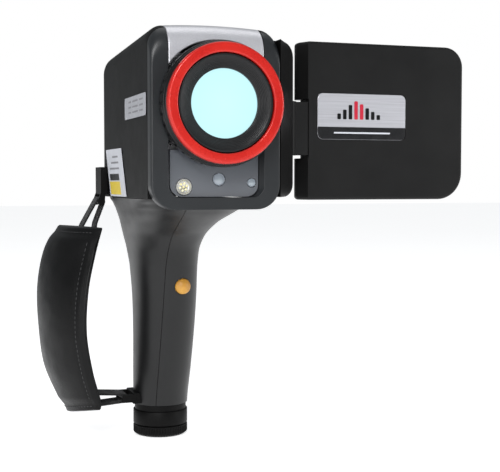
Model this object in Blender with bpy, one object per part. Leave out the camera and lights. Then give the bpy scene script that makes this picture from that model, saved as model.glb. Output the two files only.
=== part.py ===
"""Pistol-grip thermal imaging camera with a flip-out screen and a hand strap.

All sizes are in millimetres and the helpers turn them into Blender's metres.
X runs towards the screen side, the lens looks along -Y and Z is up. The origin is the
centre of the base's underside, where the tripod socket opens.
"""

import math

import bmesh
import bpy
from mathutils import Matrix, Vector

MM = 0.001
GAP = 0.3                        # clearance between neighbouring pieces

# Camera body
BODY_X = (-27.0, 39.0)           # right and left sides
BODY_FLOOR = 134.3               # underside of the side covers
FRONT_Y = -91.0                  # front plane of the bezel
REAR_Y = 27.0
WALL = 2.2
SHOULDER_R = 8.0                 # rounding between the sides and the top
CROWN = 1.6                      # rise of the top between its shoulders
BODY_STATIONS = [                # y, side inset, height of the top
    (-91.0, 1.2, 206.5), (-90.2, 0.4, 209.8), (-88.6, 0.0, 213.2), (-86.0, 0.0, 216.0),
    (-82.5, 0.0, 217.6), (-78.0, 0.0, 217.8), (-30.0, 0.0, 216.2), (18.0, 0.0, 213.4),
    (23.0, 0.8, 211.2), (25.8, 2.4, 207.0), (27.0, 4.6, 202.0),
]
BODY_MID = 6.0
BEZEL_BACK = -84.2
BEZEL_FLOOR = 129.0
BEZEL_CORNER_R = 12.0
BEZEL_RIM = 6.0                  # height of the bezel's bottom rim
COVER_END_Y = 21.8               # where the top and side covers meet the rear cover
COVER_HALF = 24.3                # half width of the silver cover

# Infrared lens, all on one axis along Y
LENS = (7.1, 180.0)              # x, z
FRONT_RING_Y = (-104.0, -100.6)
FRONT_RING_R = (24.0, 29.0)
FOCUS_Y = (-100.3, -91.9)
FOCUS_R = 30.4
BARREL_R = (20.4, 24.8)
CELL_R = 23.6
CONE_R = 16.7                    # opening of the cone in front of the glass
GLASS_R = 18.1
GLASS_Y = -98.6

# Window under the lens, with the lamp, the visible camera and the laser pointer
WINDOW_X = (-16.9, 28.1)
WINDOW_Y = (-88.0, -86.2)
WINDOW_TOP = 158.0
LAMP = (-9.9, 140.1, 4.0)        # x, z, radius
EYE = (7.8, 143.8, 3.1)
LASER = (24.7, 142.2, 2.2)
MODULE_BACK = -83.3

# Screen and its two hinges
HINGE = (47.7, -72.2)            # x, y of the upright hinge
HINGE_R = 6.4
PIN_R = 1.4
HINGE_Z = (156.2, 183.8)
PIN_Z = (146.0, 194.0)
ARM_X = 59.6                     # end of the hinge block's arm
ARM_Y = (-75.8, -66.4)
TILT = (-70.0, 170.0)            # y, z of the tilt axis, which runs along X
SHAFT_R = 3.0
SHAFT_BORE = 4.2
PANEL_X = (56.2, 149.8)
PANEL_Y = (-76.0, -64.0)
PANEL_Z = (133.3, 214.8)
PANEL_SEAM = -68.2
PANEL_BEVEL = 3.3
NOTCH_X = 60.0                   # the housing is cut away this far, for the arm to turn in
NOTCH_HALF = 15.2
SCREEN_SIZE = (71.1, 53.3)
PLATE_X = (64.9, 115.2)          # name plate
PLATE_Z = (164.6, 188.4)
PLATE_DEPTH = 0.9                # depth of the pocket it sits in

# Grip: z, x range, y range, squareness of the outline
GRIP_SECTIONS = [
    (134.0, (-26.8, 38.6), (-83.6, 24.0), 7.0),
    (131.5, (-26.2, 33.0), (-81.6, 23.6), 5.0),
    (128.0, (-25.2, 27.6), (-76.4, 23.0), 4.0),
    (122.0, (-23.6, 21.6), (-64.6, 21.8), 3.2),
    (115.0, (-22.0, 18.2), (-51.5, 20.2), 2.8),
    (107.0, (-20.2, 16.8), (-43.0, 17.6), 2.5),
    (97.0, (-18.6, 16.6), (-37.6, 14.4), 2.4),
    (80.0, (-17.4, 16.8), (-33.2, 11.8), 2.3),
    (60.0, (-16.8, 16.6), (-27.6, 10.6), 2.2),
    (38.0, (-16.2, 16.0), (-21.0, 12.2), 2.1),
    (18.0, (-15.3, 15.3), (-15.3, 15.3), 2.0),
]
GRIP_SEAM_X = -6.0
TRIGGER = (4.0, -35.6, 86.5)
TRIGGER_R = 4.2
TRIGGER_TRAVEL = 2.5

# Base
BASE_R = 15.3
CAP_TOP = 5.9
COLLAR_Z = (6.2, 17.7)
RECESS_Z = 14.4

# Hand strap
WEB_THICK = 1.2
LUG_Y = (10.5, 26.0)             # upper bracket
LUG_Z = (135.6, 151.0)
LUG_THICK = 4.0
CHEEK = 1.5                      # thickness of the brackets' side plates
BAR = (-31.0, 131.5)             # x, z of the bar that the upper webbing loops around
BAR_R = 1.2
LOOP_R = 2.1                     # radius of the webbing's centre line around a bar
LOW_LUG_Y = (-8.8, 8.8)
LOW_LUG_Z = (19.0, 25.0)
LOW_BAR = (-22.2, 22.0)
PAD_EDGES = [                    # front edge and rear edge, from the lower end to the upper end
    ((-39.4, -26.0, 20.6), (-47.4, 23.0, 10.6)),
    ((-39.2, -26.0, 26.0), (-51.0, 23.0, 19.0)),
    ((-43.2, -26.0, 41.0), (-59.6, 24.0, 39.0)),
    ((-46.2, -25.0, 62.0), (-62.5, 25.0, 62.0)),
    ((-44.6, -22.0, 84.0), (-62.8, 27.0, 84.0)),
    ((-39.4, -16.0, 104.0), (-58.6, 30.0, 104.0)),
    ((-34.8, -12.0, 117.7), (-50.8, 31.0, 117.9)),
]
PAD_THICK = 5.4
PAD_BULGE = 4.0
MOUTH_DEPTH = [5.5, 2.6, 0.0, 0.0, 0.0, 3.6, 6.6]   # how far each level opens towards the hand

# Keys, screws and socket door on the rear
REAR_CONTROLS = {                # x, z, radius
    "enter_key": (6.0, 184.0, 6.0),
    "menu_key": (-12.0, 192.0, 3.6),
    "freeze_key": (-12.0, 177.0, 3.6),
    "record_key": (24.0, 192.0, 3.6),
    "zoom_key": (24.0, 177.0, 3.6),
}
REAR_SCREWS = [(-17.5, 200.0), (29.5, 200.0), (-19.5, 142.0), (31.5, 142.0)]
DOOR_X = (-13.0, 25.0)
DOOR_Z = (142.0, 162.0)
DOOR_THICK = 2.0

MATERIALS = {                    # colour, roughness, metallic
    "black_plastic": ((0.022, 0.022, 0.022), 0.5, 0.0),
    "grey_plastic": ((0.042, 0.046, 0.052), 0.42, 0.0),
    "silver_paint": ((0.62, 0.62, 0.66), 0.32, 0.6),
    "red_anodised": ((0.62, 0.03, 0.025), 0.3, 0.7),
    "black_anodised": ((0.035, 0.036, 0.04), 0.35, 0.6),
    "lens_coating": ((0.62, 0.95, 1.0), 0.1, 0.1),
    "smoked_window": ((0.13, 0.14, 0.16), 0.15, 0.0),
    "clear_lens": ((0.4, 0.42, 0.46), 0.1, 0.0),
    "steel": ((0.6, 0.6, 0.62), 0.3, 1.0),
    "circuit_board": ((0.02, 0.16, 0.06), 0.5, 0.0),
    "screen_glass": ((0.01, 0.012, 0.016), 0.08, 0.0),
    "orange_rubber": ((0.55, 0.28, 0.05), 0.5, 0.0),
    "leather": ((0.015, 0.015, 0.016), 0.45, 0.0),
    "webbing": ((0.012, 0.012, 0.012), 0.8, 0.0),
    "label": ((0.45, 0.46, 0.5), 0.4, 0.0),
    "cell_wrap": ((0.05, 0.12, 0.3), 0.4, 0.0),
    "grey_key": ((0.12, 0.12, 0.13), 0.5, 0.0),
}


# ---------------------------------------------------------------- helpers

def clear_scene():
    for old in list(bpy.data.objects):
        bpy.data.objects.remove(old, do_unlink=True)


def material(name):
    found = bpy.data.materials.get(name)
    if found:
        return found
    colour, roughness, metallic = MATERIALS[name]
    made = bpy.data.materials.new(name)
    made.use_nodes = True
    shader = made.node_tree.nodes["Principled BSDF"]
    shader.inputs["Base Color"].default_value = (*colour, 1.0)
    shader.inputs["Roughness"].default_value = roughness
    shader.inputs["Metallic"].default_value = metallic
    return made


def mesh_object(name, bm, finish, origin=(0.0, 0.0, 0.0), crease=35.0):
    """Turn a bmesh in millimetres into an object in metres, with its origin moved to a place."""
    bmesh.ops.remove_doubles(bm, verts=bm.verts, dist=0.001)
    bmesh.ops.recalc_face_normals(bm, faces=bm.faces)
    bmesh.ops.translate(bm, verts=bm.verts, vec=-Vector(origin))
    bmesh.ops.scale(bm, verts=bm.verts, vec=(MM, MM, MM))
    mesh = bpy.data.meshes.new(name)
    bm.to_mesh(mesh)
    bm.free()
    mesh.shade_smooth()
    mesh.set_sharp_from_angle(angle=math.radians(crease))
    mesh.materials.append(material(finish) if finish else None)
    made = bpy.data.objects.new(name, mesh)
    made.location = Vector(origin) * MM
    bpy.context.collection.objects.link(made)
    return made


def loft(rings, close=False):
    """Bridge rings of equal length; cap both ends, or close the last ring onto the first."""
    bm = bmesh.new()
    made = [[bm.verts.new(point) for point in ring] for ring in rings]
    count = len(made[0])
    pairs = list(zip(made, made[1:]))
    if close:
        pairs.append((made[-1], made[0]))
    for low, high in pairs:
        for i in range(count):
            j = (i + 1) % count
            bm.faces.new((low[i], low[j], high[j], high[i]))
    if not close:
        bm.faces.new(reversed(made[0]))
        bm.faces.new(made[-1])
    return bm


def prism(outline, low, high, axis="Z"):
    """Extrude a flat outline between two heights along an axis."""
    place = {
        "X": lambda u, v, h: (h, u, v),
        "Y": lambda u, v, h: (u, h, v),
        "Z": lambda u, v, h: (u, v, h),
    }[axis]
    return loft([[place(u, v, h) for u, v in outline] for h in (low, high)])


def turned(profile, centre, axis="Y", steps=40):
    """Turn a closed profile of (radius, height) around an axis; radius 0 makes a point."""
    bm = bmesh.new()
    rows = []
    for radius, height in profile:
        if radius == 0.0:
            rows.append([bm.verts.new(on_axis(0.0, 0.0, height, centre, axis))])
            continue
        turn = [2.0 * math.pi * i / steps for i in range(steps)]
        rows.append([
            bm.verts.new(on_axis(radius * math.cos(a), radius * math.sin(a), height, centre, axis))
            for a in turn
        ])
    for low, high in zip(rows, rows[1:] + rows[:1]):
        for i in range(steps):
            j = (i + 1) % steps
            corners = [low[i % len(low)], low[j % len(low)], high[j % len(high)], high[i % len(high)]]
            unique = list(dict.fromkeys(corners))
            if len(unique) > 2:
                bm.faces.new(unique)
    return bm


def on_axis(u, v, height, centre, axis):
    """A point at (u, v) about an axis through centre, at a height measured along the axis."""
    if axis == "X":
        return (height, centre[0] + u, centre[1] + v)
    if axis == "Y":
        return (centre[0] + u, height, centre[1] + v)
    return (centre[0] + u, centre[1] + v, height)


def disc(radius, low, high, centre, axis="Y", steps=24):
    return turned([(0.0, low), (radius, low), (radius, high), (0.0, high)], centre, axis, steps)


def box(x, y, z):
    return prism([(x[0], y[0]), (x[1], y[0]), (x[1], y[1]), (x[0], y[1])], z[0], z[1])


def arc(centre, radius, start, end, steps):
    """Points on an arc, in degrees, counter-clockwise from start to end."""
    angles = [math.radians(start + (end - start) * i / steps) for i in range(steps + 1)]
    return [(centre[0] + radius * math.cos(a), centre[1] + radius * math.sin(a)) for a in angles]


def rounded(u, v, radii, steps=5):
    """A rectangle with its own radius at each corner: low-low, high-low, high-high, low-high."""
    corners = [(u[0], v[0], 1, 1), (u[1], v[0], -1, 1), (u[1], v[1], -1, -1), (u[0], v[1], 1, -1)]
    points = []
    for index, (cu, cv, su, sv) in enumerate(corners):
        radius = radii[index]
        if radius == 0.0:
            points.append((cu, cv))
            continue
        start = 180.0 + 90.0 * index
        points += arc((cu + su * radius, cv + sv * radius), radius, start, start + 90.0, steps)
    return points


def cutter(name, bm):
    """An unseen object that shapes another one."""
    made = mesh_object(name, bm, None)
    made.hide_render = True
    made.display_type = "WIRE"
    return made


def shape(target, operation, bm):
    """Cut, join or trim an object with the shape in a bmesh."""
    tool = cutter(f"{target.name}_{operation.lower()}_{len(target.modifiers)}", bm)
    step = target.modifiers.new(tool.name, "BOOLEAN")
    step.operation = operation
    step.solver = "EXACT"
    step.object = tool
    tool.parent = target
    tool.matrix_parent_inverse = Matrix.Translation(target.location).inverted()


def cut(target, bm):
    shape(target, "DIFFERENCE", bm)


def join(target, bm):
    shape(target, "UNION", bm)


def keep(target, bm):
    shape(target, "INTERSECT", bm)


def pivot(name, place):
    """An empty on a joint's axis that its moving pieces hang from."""
    empty = bpy.data.objects.new(name, None)
    empty.location = Vector(place) * MM
    empty.empty_display_size = 0.01
    bpy.context.collection.objects.link(empty)
    return empty


def hang(pieces, empty):
    for piece in pieces:
        piece.parent = empty
        piece.matrix_parent_inverse = Matrix.Translation(empty.location).inverted()


def helix(centre, low, high, radius, wire, turns, steps=10, sides=6):
    """A coil spring standing along Z: a round wire that follows a helix."""
    rings = []
    count = int(turns * steps)
    for i in range(count + 1):
        angle = 2.0 * math.pi * i / steps
        height = low + (high - low) * i / count
        ring = []
        for k in range(sides):
            tilt = 2.0 * math.pi * k / sides
            reach = radius + wire * math.cos(tilt)
            place = (centre[0] + reach * math.cos(angle), centre[1] + reach * math.sin(angle))
            ring.append((*place, height + wire * math.sin(tilt)))
        rings.append(ring)
    return loft(rings)


# ---------------------------------------------------------------- camera body

def body_section(y, side, top, inset, floor, corner):
    """The body's outline across X and Z at one place along Y."""
    low_x = BODY_X[0] + side + inset
    high_x = BODY_X[1] - side - inset
    crest = top - inset
    shoulder = SHOULDER_R - inset
    outline = rounded((low_x, high_x), (floor, crest), (corner, corner, shoulder, shoulder))
    middle = (low_x + high_x) / 2.0
    half = (high_x - low_x) / 2.0
    flat_start = low_x + shoulder
    flat_end = high_x - shoulder
    last_arc = len(outline) - 6
    across = [flat_end + (flat_start - flat_end) * i / 6.0 for i in range(1, 6)]
    outline[last_arc:last_arc] = [(x, crest) for x in across]
    ring = []
    for x, z in outline:
        rise = CROWN * (1.0 - ((x - middle) / half) ** 2) if z > crest - shoulder else 0.0
        ring.append((x, y, z + rise))
    return ring


def body_solid(inset=0.0, floor=BODY_FLOOR, corner=0.0):
    """The body's full outer shape, or the same shape drawn in by a wall's thickness."""
    middle = (FRONT_Y + REAR_Y) / 2.0
    shrink = 1.0 - 2.0 * inset / (REAR_Y - FRONT_Y)
    rings = []
    for y, side, top in BODY_STATIONS:
        rings.append(body_section(middle + (y - middle) * shrink, side, top, inset, floor, corner))
    return loft(rings)


def top_cover():
    piece = mesh_object("top_cover", body_solid(), "silver_paint")
    cut(piece, body_solid(WALL, BODY_FLOOR - 20.0))
    edge = (BODY_MID - COVER_HALF + GAP / 2.0, BODY_MID + COVER_HALF - GAP / 2.0)
    keep(piece, box(edge, (FRONT_Y - 5.0, COVER_END_Y), (196.0, 230.0)))
    cut(piece, disc(FOCUS_R + 0.9, FRONT_Y - 6.0, FRONT_Y + 12.0, LENS, steps=48))


def front_bezel():
    """Front frame, open at the top for the silver cover; below the lens its mouth narrows to the window."""
    piece = mesh_object("front_bezel", body_solid(0.0, BEZEL_FLOOR, BEZEL_CORNER_R), "grey_plastic")
    keep(piece, box((-60.0, 60.0), (FRONT_Y - 5.0, BEZEL_BACK - GAP / 2.0), (100.0, 230.0)))
    half = COVER_HALF + GAP / 2.0
    wide = (BODY_MID - half, BODY_MID + half)
    narrow = (WINDOW_X[0] - GAP, WINDOW_X[1] + GAP)
    cut(piece, box(wide, (FRONT_Y - 5.0, BEZEL_BACK + 5.0), (WINDOW_TOP + GAP, 240.0)))
    rings = []
    pane = WINDOW_Y[0] - 0.2
    for y, x in ((FRONT_Y - 5.0, wide), (FRONT_Y, wide), (pane, narrow), (BEZEL_BACK + 5.0, narrow)):
        mouth = rounded(x, (BEZEL_FLOOR + BEZEL_RIM, WINDOW_TOP + 1.0), (6, 6, 0, 0))
        rings.append([(u, y, v) for u, v in mouth])
    cut(piece, loft(rings))
    cut(piece, disc(BARREL_R[1] + 0.5, FRONT_Y - 5.0, BEZEL_BACK + 5.0, LENS, steps=40))


def side_cover(name, x_range):
    piece = mesh_object(name, body_solid(), "black_plastic")
    cut(piece, body_solid(WALL, BODY_FLOOR - 20.0))
    keep(piece, box(x_range, (BEZEL_BACK + GAP / 2.0, COVER_END_Y), (120.0, 230.0)))
    return piece


def left_side_cover():
    piece = side_cover("left_side_cover", (BODY_MID + COVER_HALF + GAP / 2.0, 60.0))
    root = BODY_X[1] + GAP
    inner = BODY_X[1] - 1.8
    joined = BEZEL_BACK + 0.8
    dock = [
        (root, -90.8), (47.6, -81.6), (50.0, -78.0), (50.6, -74.6), (50.6, -67.4), (49.2, -66.0),
        (root, -66.0), (inner, -66.0), (inner, joined), (root, joined),
    ]
    low = [(min(x, root + (x - root) * 0.55), y, 135.0) for x, y in dock]
    high = [(min(x, root + (x - root) * 0.5), y, 213.0) for x, y in dock]
    rings = [low, [(x, y, 141.5) for x, y in dock], [(x, y, 205.5) for x, y in dock], high]
    join(piece, loft(rings))
    reach = HINGE_R + 0.6
    slot_x = (HINGE[0] - reach, 60.0)
    cut(piece, box(slot_x, (HINGE[1] - reach, -60.0), (HINGE_Z[0] - 0.4, HINGE_Z[1] + 0.4)))
    cut(piece, disc(PIN_R + GAP, PIN_Z[0] - GAP, PIN_Z[1] + GAP, HINGE, "Z", 16))
    return piece


def rear_cover():
    piece = mesh_object("rear_cover", body_solid(), "black_plastic")
    cut(piece, body_solid(WALL, BODY_FLOOR - 20.0))
    keep(piece, box((-60.0, 60.0), (COVER_END_Y + GAP, 60.0), (120.0, 230.0)))
    for x, z, radius in REAR_CONTROLS.values():
        cut(piece, disc(radius + GAP, 20.0, 30.0, (x, z), "Y", 20))
    mouth_x = (DOOR_X[0] - GAP, DOOR_X[1] + GAP)
    cut(piece, box(mouth_x, (20.0, 30.0), (DOOR_Z[0] - GAP, DOOR_Z[1] + GAP)))
    pin = (REAR_Y - DOOR_THICK / 2.0, DOOR_Z[0] + DOOR_THICK / 2.0)
    cut(piece, disc(0.65, DOOR_X[0] - 3.0, DOOR_X[1] + 3.0, pin, "X", 10))
    for x, z in REAR_SCREWS:
        cut(piece, disc(2.0, 26.0, 30.0, (x, z), "Y", 10))


def chassis_plate():
    """Bulkhead behind the bezel that carries the lens barrel."""
    outline = rounded((BODY_MID - 23.6, BODY_MID + 23.6), (136.0, 205.0), (6, 6, 4, 4), 3)
    piece = mesh_object("chassis_plate", prism(outline, -83.0, -81.0, "Y"), "steel")
    cut(piece, disc(BARREL_R[0] + 1.5, -90.0, -70.0, LENS, steps=48))


# ---------------------------------------------------------------- infrared lens

def lens_barrel():
    inner, outer = BARREL_R
    profile = [
        (inner, -96.0), (outer, -96.0), (outer, -86.0), (23.4, -86.0), (23.4, -83.3), (inner, -83.3),
    ]
    mesh_object("lens_barrel", turned(profile, LENS), "black_anodised")


def focus_ring():
    low, high = FOCUS_Y
    inner = BARREL_R[1] + 0.3
    profile = [
        (inner, high), (inner, low), (FOCUS_R - 1.8, low), (FOCUS_R - 0.7, low + 1.1),
        (FOCUS_R - 0.7, low + 2.0), (FOCUS_R, low + 2.7), (FOCUS_R, high - 0.8), (FOCUS_R - 0.8, high),
    ]
    centre = (LENS[0], high, LENS[1])
    return mesh_object("focus_ring", turned(profile, LENS, steps=48), "black_anodised", centre)


def front_ring():
    low, high = FRONT_RING_Y
    inner, outer = FRONT_RING_R
    profile = [
        (inner, high), (inner, low + 0.7), (inner + 0.7, low), (outer - 1.2, low),
        (outer - 0.4, low + 0.4), (outer, low + 1.2), (outer, high),
    ]
    centre = (LENS[0], high, LENS[1])
    return mesh_object("front_ring", turned(profile, LENS, steps=48), "red_anodised", centre)


def lens_cell():
    """Black cone in front of the glass, with the sleeve that slides in the barrel."""
    profile = [
        (CELL_R, -97.4), (CELL_R, -102.7), (CELL_R - 0.6, -103.0), (21.6, -102.1), (19.2, -101.1),
        (CONE_R, -100.0), (CONE_R, -98.9), (GLASS_R + GAP, -98.9), (GLASS_R + GAP, -86.0),
        (20.1, -86.0), (20.1, -97.4),
    ]
    centre = (LENS[0], -97.4, LENS[1])
    return mesh_object("lens_cell", turned(profile, LENS, steps=40), "black_anodised", centre)


def objective_lens():
    profile = [
        (0.0, GLASS_Y - 1.2), (6.0, GLASS_Y - 1.0), (11.0, GLASS_Y - 0.6), (CONE_R - 0.5, GLASS_Y),
        (GLASS_R, GLASS_Y), (GLASS_R, GLASS_Y + 4.0), (0.0, GLASS_Y + 5.4),
    ]
    centre = (LENS[0], GLASS_Y, LENS[1])
    return mesh_object("objective_lens", turned(profile, LENS, steps=48), "lens_coating", centre)


def rear_lens():
    profile = [(0.0, -85.2), (9.0, -84.4), (19.8, -83.0), (19.8, -80.4), (0.0, -80.8)]
    mesh_object("rear_lens", turned(profile, LENS, steps=28), "clear_lens")


def detector_module():
    core = box((LENS[0] - 16.0, LENS[0] + 16.0), (-79.0, -58.0), (LENS[1] - 16.0, LENS[1] + 16.0))
    piece = mesh_object("detector_module", core, "steel")
    join(piece, disc(14.0, -80.0, -78.0, LENS, steps=28))


# ---------------------------------------------------------------- window

def front_window():
    outline = rounded(WINDOW_X, (BEZEL_FLOOR + BEZEL_RIM + GAP, WINDOW_TOP), (6, 6, 0, 0))
    piece = mesh_object("front_window", prism(outline, WINDOW_Y[0], WINDOW_Y[1], "Y"), "smoked_window")
    cut(piece, disc(BARREL_R[1] + 0.6, -95.0, -80.0, LENS, steps=48))
    for x, z, radius in (LAMP, EYE, LASER):
        cut(piece, disc(radius + GAP, -95.0, -80.0, (x, z), steps=20))


def window_module(name, spot, finish, dome):
    """A lamp or a small lens that sits in a hole of the window."""
    x, z, radius = spot
    front = WINDOW_Y[0]
    profile = [
        (0.0, front - dome), (radius * 0.6, front - dome * 0.65), (radius, front),
        (radius, MODULE_BACK - 2.5), (radius + 1.0, MODULE_BACK - 2.5), (radius + 1.0, MODULE_BACK),
        (0.0, MODULE_BACK),
    ]
    mesh_object(name, turned(profile, (x, z), steps=20), finish)


# ---------------------------------------------------------------- screen

def hinge_block():
    """Knuckle on the upright hinge, with the arm that carries the tilt shaft."""
    centre = (HINGE[0], HINGE[1], 0.0)
    knuckle = disc(HINGE_R, HINGE_Z[0], HINGE_Z[1], HINGE, "Z", 28)
    piece = mesh_object("hinge_block", knuckle, "black_plastic", centre)
    join(piece, box((HINGE[0], ARM_X), ARM_Y, (HINGE_Z[0] + 0.2, HINGE_Z[1] - 0.2)))
    cut(piece, disc(PIN_R + GAP, 140.0, 200.0, HINGE, "Z", 16))
    cut(piece, disc(SHAFT_R + GAP, 52.0, 62.0, TILT, "X", 20))
    return piece


def hinge_pin():
    mesh_object("hinge_pin", disc(PIN_R, PIN_Z[0], PIN_Z[1], HINGE, "Z", 16), "steel")


def tilt_shaft():
    centre = (PANEL_X[0], TILT[0], TILT[1])
    profile = [
        (0.0, 52.3), (SHAFT_R, 52.3), (SHAFT_R, 60.4), (3.8, 60.4), (3.8, 61.6), (SHAFT_R, 61.6),
        (SHAFT_R, 66.0), (0.0, 66.0),
    ]
    return mesh_object("tilt_shaft", turned(profile, TILT, "X", 24), "steel", centre)


def panel_outline(inset=0.0, near=0.0):
    """The screen housing's outline across X and Z, with wider rounding on its free edge."""
    x = (PANEL_X[0] + inset + near, PANEL_X[1] - inset)
    z = (PANEL_Z[0] + inset, PANEL_Z[1] - inset)
    radii = (max(2.0 - inset, 0.6), 14.0 - inset, 10.5 - inset, max(2.0 - inset, 0.6))
    return rounded(x, z, radii, 6)


def panel_loft(rows):
    """Loft the housing's outline through (y, inset, extra inset on the hinge side) rows."""
    return loft([[(x, y, z) for x, z in panel_outline(inset, near)] for y, inset, near in rows])


def notch_and_bore(piece):
    """Room for the hinge block's arm and for the tilt shaft in a half of the screen housing."""
    height = (TILT[1] - NOTCH_HALF, TILT[1] + NOTCH_HALF)
    cut(piece, box((50.0, NOTCH_X), (PANEL_Y[0] - 5.0, PANEL_Y[1] + 5.0), height))
    cut(piece, disc(SHAFT_BORE, 50.0, 68.0, TILT, "X", 24))


def lcd_outer_cover():
    front = PANEL_Y[0]
    centre = (PANEL_X[0], TILT[0], TILT[1])
    rows = [
        (front, 1.2, PANEL_BEVEL - 1.2), (front + 0.4, 0.4, PANEL_BEVEL - 0.8),
        (front + 1.4, 0.0, PANEL_BEVEL - 1.1), (PANEL_SEAM, 0.0, 0.0),
    ]
    piece = mesh_object("lcd_outer_cover", panel_loft(rows), "black_plastic", centre)
    cut(piece, panel_loft([(front + 2.0, 2.0, 4.6), (PANEL_SEAM + 5.0, 2.0, 4.0)]))
    pocket_x = (PLATE_X[0] - GAP, PLATE_X[1] + GAP)
    pocket = rounded(pocket_x, (PLATE_Z[0] - GAP, PLATE_Z[1] + GAP), (3, 3, 3, 3), 4)
    cut(piece, prism(pocket, front - 1.0, front + PLATE_DEPTH, "Y"))
    notch_and_bore(piece)
    return piece


def lcd_inner_frame():
    centre = (PANEL_X[0], TILT[0], TILT[1])
    seam = PANEL_SEAM + GAP
    rows = [(seam, 0.0, 0.0), (-65.0, 0.0, 0.0), (-64.3, 0.4, 0.0), (PANEL_Y[1], 1.0, 0.0)]
    piece = mesh_object("lcd_inner_frame", panel_loft(rows), "black_plastic", centre)
    cut(piece, screen_block(GAP, -75.0, -60.0))
    notch_and_bore(piece)
    return piece


def screen_block(grow, low, high):
    middle_x = (PANEL_X[0] + PANEL_X[1]) / 2.0 + 5.0
    middle_z = (PANEL_Z[0] + PANEL_Z[1]) / 2.0 + 2.0
    wide = (middle_x - SCREEN_SIZE[0] / 2.0 - grow, middle_x + SCREEN_SIZE[0] / 2.0 + grow)
    tall = (middle_z - SCREEN_SIZE[1] / 2.0 - grow, middle_z + SCREEN_SIZE[1] / 2.0 + grow)
    return box(wide, (low, high), tall)


def lcd_screen():
    centre = (PANEL_X[0], TILT[0], TILT[1])
    return mesh_object("lcd_screen", screen_block(0.0, -69.5, -64.5), "screen_glass", centre)


def lcd_board():
    centre = (PANEL_X[0], TILT[0], TILT[1])
    board = box((70.0, 140.0), (-72.4, -71.0), (141.0, 206.0))
    return mesh_object("lcd_board", board, "circuit_board", centre)


def name_plate():
    """Blank plate: a silver field above a black band."""
    centre = (PANEL_X[0], TILT[0], TILT[1])
    outline = rounded(PLATE_X, PLATE_Z, (3.0, 3.0, 3.0, 3.0), 4)
    back = PANEL_Y[0] + PLATE_DEPTH - GAP
    front = PANEL_Y[0] - 0.2
    return mesh_object("name_plate", prism(outline, front, back, "Y"), "silver_paint", centre)


# ---------------------------------------------------------------- grip

def grip_ring(z, x, y, power, inset, steps=28):
    """A rounded outline across X and Y: power 2 is an ellipse, more is squarer."""
    centre = ((x[0] + x[1]) / 2.0, (y[0] + y[1]) / 2.0)
    half = ((x[1] - x[0]) / 2.0 - inset, (y[1] - y[0]) / 2.0 - inset)
    ring = []
    for i in range(steps):
        angle = 2.0 * math.pi * (i + 0.5) / steps
        u = math.copysign(abs(math.cos(angle)) ** (2.0 / power), math.cos(angle))
        v = math.copysign(abs(math.sin(angle)) ** (2.0 / power), math.sin(angle))
        ring.append((centre[0] + half[0] * u, centre[1] + half[1] * v, z))
    return ring


def grip_solid(inset=0.0, lengthen=0.0):
    rings = [grip_ring(*row, inset) for row in GRIP_SECTIONS]
    if lengthen:
        top = [(x, y, z + lengthen) for x, y, z in rings[0]]
        bottom = [(x, y, z - lengthen) for x, y, z in rings[-1]]
        rings = [top, *rings, bottom]
    return loft(rings[::-1])


def grip_half(name, x_range):
    piece = mesh_object(name, grip_solid(), "black_plastic")
    cut(piece, grip_solid(WALL, 5.0))
    keep(piece, box(x_range, (-120.0, 60.0), (0.0, 150.0)))
    return piece


def grip_halves():
    grip_half("grip_right_half", (-60.0, GRIP_SEAM_X - GAP / 2.0))
    left = grip_half("grip_left_half", (GRIP_SEAM_X + GAP / 2.0, 60.0))
    x, y, z = TRIGGER
    cut(left, disc(TRIGGER_R + GAP, y - 10.0, y + 12.0, (x, z), steps=20))


def trigger_button():
    x, y, z = TRIGGER
    profile = [
        (0.0, y - 1.6), (2.2, y - 1.3), (TRIGGER_R - 0.4, y - 0.4), (TRIGGER_R, y + 0.4),
        (TRIGGER_R, y + 5.2), (1.5, y + 5.2), (1.5, y + 8.0), (0.0, y + 8.0),
    ]
    return mesh_object("trigger_button", turned(profile, (x, z), steps=20), "orange_rubber", (x, y, z))


def trigger_switch():
    x, y, z = TRIGGER
    front = y + 8.0 + TRIGGER_TRAVEL + GAP
    body = box((x - 4.0, x + 4.0), (front, front + 5.0), (z - 3.5, z + 3.5))
    mesh_object("trigger_switch", body, "grey_plastic")


# ---------------------------------------------------------------- base and battery

def base_collar():
    profile = [
        (13.2, COLLAR_Z[0]), (BASE_R - 0.5, COLLAR_Z[0]), (BASE_R, COLLAR_Z[0] + 0.5),
        (BASE_R, RECESS_Z), (14.5, RECESS_Z + 0.3), (14.5, COLLAR_Z[1]), (13.2, COLLAR_Z[1]),
    ]
    mesh_object("base_collar", turned(profile, (0.0, 0.0), "Z"), "black_plastic")


def battery_cap():
    """Twist cap with a ribbed rim, a spigot inside the collar and a bore for the tripod bush."""
    profile = [
        (5.3, 0.0), (13.6, 0.0), (BASE_R, 1.4), (BASE_R, CAP_TOP), (12.9, CAP_TOP), (12.9, 12.0),
        (10.6, 12.0), (10.6, 7.0), (5.3, 7.0),
    ]
    return mesh_object("battery_cap", turned(profile, (0.0, 0.0), "Z"), "black_plastic")


def tripod_insert():
    """Bush for a quarter-inch tripod screw."""
    profile = [(3.1, 0.2), (5.0, 0.2), (5.0, 6.8), (3.1, 6.8)]
    return mesh_object("tripod_insert", turned(profile, (0.0, 0.0), "Z", 24), "steel")


def battery_pack():
    """One round cell that lies along the raked grip."""
    low = Vector((0.0, -0.6, 20.6))
    high = Vector((0.0, -11.6, 84.0))
    along = (high - low).normalized()
    turn = Vector((0.0, 0.0, 1.0)).rotation_difference(along).to_matrix().to_4x4()
    length = (high - low).length
    profile = [
        (0.0, 0.0), (8.6, 0.0), (9.1, 0.6), (9.1, length - 1.6), (8.2, length - 0.8),
        (3.6, length - 0.8), (3.6, length), (0.0, length),
    ]
    bm = turned(profile, (0.0, 0.0), "Z", 28)
    bmesh.ops.transform(bm, matrix=Matrix.Translation(low) @ turn, verts=bm.verts)
    mesh_object("battery_pack", bm, "cell_wrap")


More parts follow.
